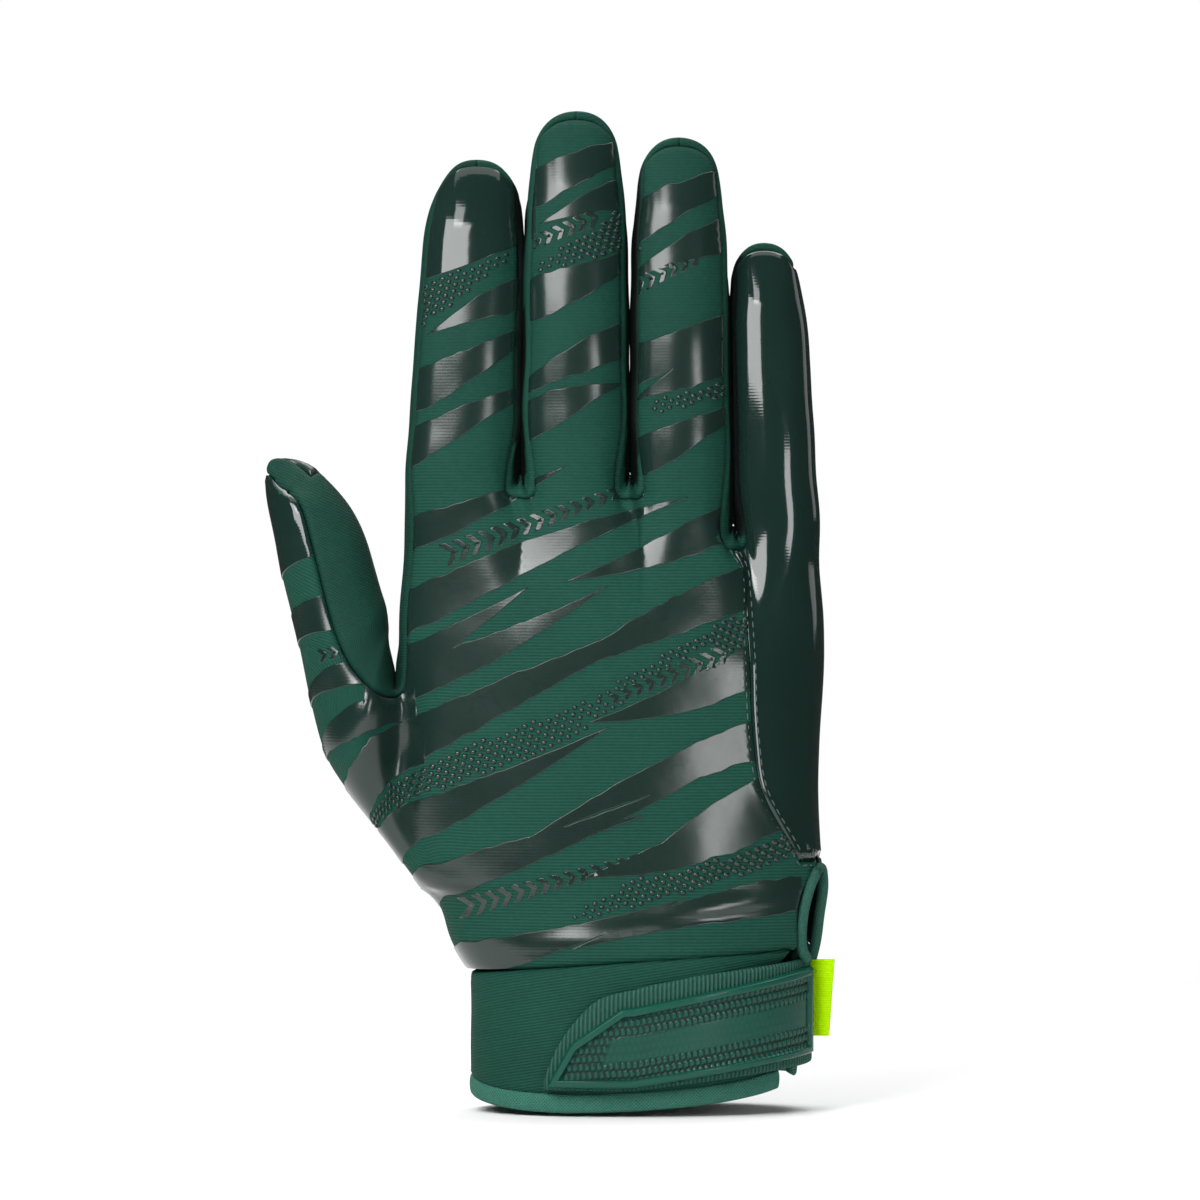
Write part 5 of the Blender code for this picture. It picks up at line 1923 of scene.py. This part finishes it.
def stitch_row(name, path, away, thread):
    """Stitches along a path: short rounded bars that dip at both ends."""
    lengths = lengths_along(path)
    near = STITCH_LENGTH * 0.1
    points, faces = [], []
    start = STITCH_GAP
    while start + STITCH_LENGTH < lengths[-1]:
        first = len(points)
        for share, size in STITCH_RINGS:
            where = start + share * STITCH_LENGTH
            spot = at_lengths(where, lengths, path)
            later, sooner = (at_lengths(where + step, lengths, path) for step in (near, -near))
            up = unit(at_lengths(where, lengths, away))
            side = np.cross(unit(later - sooner), up)
            centre = spot + up * STITCH_RADIUS * (0.9 * math.sin(math.pi * share) - 0.35)
            for k in range(STITCH_SIDES):
                turn = 2 * math.pi * k / STITCH_SIDES
                way = up * math.cos(turn) + side * math.sin(turn)
                points.append(centre + way * STITCH_RADIUS * size)
        faces += ring_walls(first, len(STITCH_RINGS), STITCH_SIDES)
        last = first + (len(STITCH_RINGS) - 1) * STITCH_SIDES
        faces.append(tuple(first + k for k in reversed(range(STITCH_SIDES))))
        faces.append(tuple(last + k for k in range(STITCH_SIDES)))
        start += STITCH_LENGTH + STITCH_GAP
    return linked(name, points, faces, [thread])


# Sides of two fingers that are nearer than TOUCH_REACH swell until they nearly touch, and a place that
# faces another nearer than GAP_SHADE_REACH is darkened with painted shade. Each comes in over its FADE.
TOUCH_REACH = 0.0020
TOUCH_FADE = 0.0010
TOUCH_CLEAR = 0.00002
GAP_SHADE_REACH = 0.0080
GAP_SHADE_FADE = 0.0045
RAY_START = 0.00005


def between_fingers(points, normals, faces, side):
    """How far neighbouring fingers' sides swell to meet across the narrow gap between them, and how much
    painted shade each point gets from a finger facing it close by, from 0 to 1."""
    tree = BVHTree.FromPolygons(points.tolist(), faces[side].tolist())
    lift = np.zeros(len(points))
    gap_shade = np.zeros(len(points))
    for i in np.unique(faces[side]):
        away = Vector(normals[i])
        hit = tree.ray_cast(Vector(points[i]) + away * RAY_START, away, GAP_SHADE_REACH)
        if hit[0] is None or hit[1].dot(away) > 0:
            continue
        gap = hit[3] + RAY_START
        gap_shade[i] = smooth((GAP_SHADE_REACH - gap) / GAP_SHADE_FADE)
        if hit[1].dot(away) < -0.5 and gap < TOUCH_REACH:
            lift[i] = (gap / 2 - TOUCH_CLEAR) * smooth((TOUCH_REACH - gap) / TOUCH_FADE)
    return lift, gap_shade


def joined_points(count, faces, tags, fourchettes):
    """Points where only fourchettes meet each other, as at the fingertips."""
    uses = np.zeros((count, int(tags.max()) + 1), bool)
    for i in range(4):
        uses[faces[:, i], tags] = True
    strips = uses[:, fourchettes].sum(axis=1)
    return (strips > 1) & (uses.sum(axis=1) == strips)


class Shown:
    """All the skin's shown surfaces, to snap stitches to."""

    def __init__(self, pieces):
        points, faces = [], []
        for piece in pieces:
            faces += (piece.faces + len(points)).tolist()
            points += piece.points.tolist()
        self.tree = BVHTree.FromPolygons(points, faces)

    def snap(self, spots):
        hits = [self.tree.find_nearest(Vector(spot)) for spot in spots]
        return np.array([tuple(hit[0]) for hit in hits]), np.array([tuple(hit[1]) for hit in hits])


def seam_path(points, normals, faces, tags, one, other):
    """The line between two pieces as places and the ways up and across, in order."""
    count = len(points)
    first = open_edges(faces[tags == one], count)
    second = open_edges(faces[tags == other], count)
    code = first[:, 0].astype(np.int64) * count + first[:, 1]
    back = second[:, 1].astype(np.int64) * count + second[:, 0]
    shared = first[np.isin(code, back)]
    after = dict(shared.tolist())
    starts = set(after) - set(after.values())
    chains = []
    for start in starts:
        chain = [start]
        while chain[-1] in after:
            chain.append(after[chain[-1]])
        chains.append(chain)
    chain = max(chains, key=len)
    spots = points[chain]
    up = normals[chain]
    ahead = unit(np.gradient(spots, axis=0))
    return spots, up, np.cross(up, ahead)


FLOOR_DROP = 0.0006
FLOOR_RADIUS = 0.55
FLOOR_STEPS = 96


def make_floor():
    nodes = Nodes("floor_look")
    material = nodes.finish(nodes.mix(nodes.noise(2.0), FLOOR_DARK, FLOOR_LIGHT), 0.9, 0.1)
    low = CAD_BOX[0][2] - FLOOR_DROP
    turns = [2 * math.pi * i / FLOOR_STEPS for i in range(FLOOR_STEPS)]
    ring = [(FLOOR_RADIUS * math.cos(turn), FLOOR_RADIUS * math.sin(turn), low) for turn in turns]
    mesh = bpy.data.meshes.new("floor")
    mesh.from_pydata(ring, [], [tuple(range(FLOOR_STEPS))])
    mesh.materials.append(material)
    obj = placed("floor", mesh)


class Light(NamedTuple):
    """A soft box aimed at a point over the glove's middle. Azimuth is degrees from the camera's
    side, plus towards +X, and elevation is above the level."""

    name: str
    aim_x: float
    aim_z: float
    azimuth: float
    elevation: float
    distance: float
    width: float
    height: float
    watts: float


LIGHTS = (
    Light("key_box", -0.015, 0.17, -33.5, 22.0, 0.50, 0.43, 0.23, 3.0),
    Light("side_box", 0.020, 0.080, 24.5, 6.5, 0.50, 0.12, 0.17, 0.55),
    Light("front_fill", -0.005, 0.11, -26.0, 38.0, 1.6, 0.45, 0.50, 5.0),
    Light("top_box", -0.005, 0.11, 0.0, 84.0, 1.5, 1.8, 1.0, 9.0),
    Light("floor_wash", -0.005, 0.11, 180.0, 62.0, 1.5, 1.6, 1.0, 24.0),
    Light("rim_right", -0.005, 0.11, 112.0, 20.0, 1.6, 0.5, 1.0, 2.0),
)


def make_lights():
    for light in LIGHTS:
        data = bpy.data.lights.new(light.name, "AREA")
        data.shape = "RECTANGLE"
        data.size = light.width
        data.size_y = light.height
        data.energy = light.watts
        obj = placed(light.name, data)
        turn, lift = math.radians(light.azimuth), math.radians(light.elevation)
        away = Vector((math.sin(turn) * math.cos(lift), -math.cos(turn) * math.cos(lift), math.sin(lift)))
        obj.location = Vector((light.aim_x, 0.0, light.aim_z)) + away * light.distance
        obj.rotation_euler = (-away).to_track_quat("-Z", "Y").to_euler()


WORLD_SEEN = 1.0
WORLD_LIGHT = 0.05


def make_world():
    """White behind the glove, and a dimmer even light round it."""
    world = bpy.data.worlds.new("studio")
    bpy.context.scene.world = world
    world.use_nodes = True
    tree = world.node_tree
    background = tree.nodes["Background"]
    background.inputs["Color"].default_value = (1, 1, 1, 1)
    path = tree.nodes.new("ShaderNodeLightPath")
    strength = tree.nodes.new("ShaderNodeMath")
    strength.operation = "MULTIPLY_ADD"
    tree.links.new(path.outputs["Is Camera Ray"], strength.inputs[0])
    strength.inputs[1].default_value = WORLD_SEEN - WORLD_LIGHT
    strength.inputs[2].default_value = WORLD_LIGHT
    tree.links.new(strength.outputs[0], background.inputs["Strength"])


CAMERA_LENS = 203.8
CAMERA_PLACE = (-0.0092, -1.6, 0.114)


def make_camera():
    data = bpy.data.cameras.new("camera")
    data.lens = CAMERA_LENS
    data.sensor_width = 36.0
    data.clip_end = 60.0
    obj = placed("camera", data)
    obj.location = CAMERA_PLACE
    obj.rotation_euler = (math.pi / 2, 0.0, 0.0)
    bpy.context.scene.camera = obj


# Each row of stitches, and how far it lies from the seam
STITCH_ROWS = (("seam_stitches_inner", 0.0011), ("seam_stitches_outer", -0.0013))


def make_glove():
    knit = knit_material("knit", 0.74, 0.55)
    # The thumb's side: a finer knit in darker colours, as painted shade
    fine = knit_material("fine_knit_painted_shade", 0.60, 0.50, 0.00006, SHADED_SIDE_LIGHT, SHADED_SIDE_DARK)
    inner = knit_material("inner_knit_gap_shade", 0.60, 0.50, 0.00006, shade_gaps=True)
    film = film_material("film", 0.22, 0.00003)
    gloss = film_material("gloss", 0.09, 0.00002)
    grip = grip_material()
    # The slit binding's tape, darkened as painted shade
    tape = tape_material("slit_tape_painted_shade", 0.85)
    lining = lining_material()
    thread = thread_material()

    skin = glove_skin()
    keys = list(skin.points)
    index = {key: i for i, key in enumerate(keys)}
    plan = plan_points(skin)
    values = np.array([list(skin.points[key]) + plan[key] for key in keys])
    faces = np.array([[index[key] for key in corners] for _, corners in skin.faces])
    names = sorted({piece for piece, _ in skin.faces})
    tags = [names.index(piece) for piece, _ in skin.faces]
    cage = limit_cage(values, faces)
    points, fine_faces, marks = subdivided(cage[:, :3], faces, tags, SKIN_LEVEL)
    flat, _, _ = subdivided(cage[:, 3:], faces, tags, SKIN_LEVEL)
    normals = point_normals(points, fine_faces)
    relief = fold_relief(flat) * smooth((-points[:, 1] + 0.002) / 0.006)
    relief += unevenness(points, 0.013, 0.0003)
    fourchettes = [number for number, name in enumerate(names) if name.startswith("fourchette")]
    sides = np.isin(marks, fourchettes + [names.index("pinky_panel")])
    touch, gap_shade = between_fingers(points, normals, fine_faces, sides)
    relief += touch
    joined = joined_points(len(points), fine_faces, marks, fourchettes)
    pieces = {}
    for number, name in enumerate(names):
        seam = GLOSS_SEAM if name == "pinky_panel" else PANEL_SEAM
        pieces[name] = Piece(points, fine_faces[marks == number], flat, relief, seam, normals, joined)
    looks = {
        "back_panel": ("knit_back", knit, "green_knit"),
        "pinky_panel": ("gloss_side", gloss, "dark_gloss"),
        "palm_panel": ("grip_palm", grip, "palm_grip"),
        "fourchette_thumb_index": ("thumb_side", fine, "green_knit"),
        "fourchette_index_middle": ("index_side", inner, "green_knit"),
        "fourchette_middle_ring": ("middle_side", inner, "green_knit"),
        "fourchette_ring_pinky": ("ring_side", inner, "green_knit"),
    }
    for name, (shown, material, slot) in looks.items():
        obj = pieces[name].build(shown, SHELL_WALL, [material, lining])
        # The painted shade between fingers, for the knit that reads it
        layer = obj.data.attributes.new("gap_shade", "FLOAT", "POINT")
        layer.data.foreach_set("value", np.tile(gap_shade[pieces[name].used], 2).astype(np.float32))
        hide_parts(name)
    plan_map = PlanMap(pieces["back_panel"])
    obj, cover = film_print(plan_map, pieces["back_panel"], film, gloss)
    obj = studs(plan_map, cover, film)

    shown = Shown(pieces.values())
    spots, up, across = seam_path(points, normals, fine_faces, marks,
                                  names.index("back_panel"), names.index("pinky_panel"))
    for name, side in STITCH_ROWS:
        places, away = shown.snap(spots + across * side)
        stitch_row(name, places, away, thread)

    cuff_knit = knit_material("cuff_knit", CUFF_PITCH, 0.5, 0.00010)
    # The hem's tape, brightened as painted light
    make_cuff(cuff_knit, tape_material("hem_tape_painted_light", 1.35), lining)
    make_strap(strap_material(), lining)
    make_badge(rubber_material())
    obj = tube("slit_binding", smooth_route(slit_tape_route(skin), 0.0004), TAPE_RADIUS, 16, tape)
    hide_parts("slit_tape")
    make_tag(label_material())


make_glove()
make_floor()
make_lights()
make_world()
make_camera()
bpy.context.scene.view_settings.view_transform = "Standard"
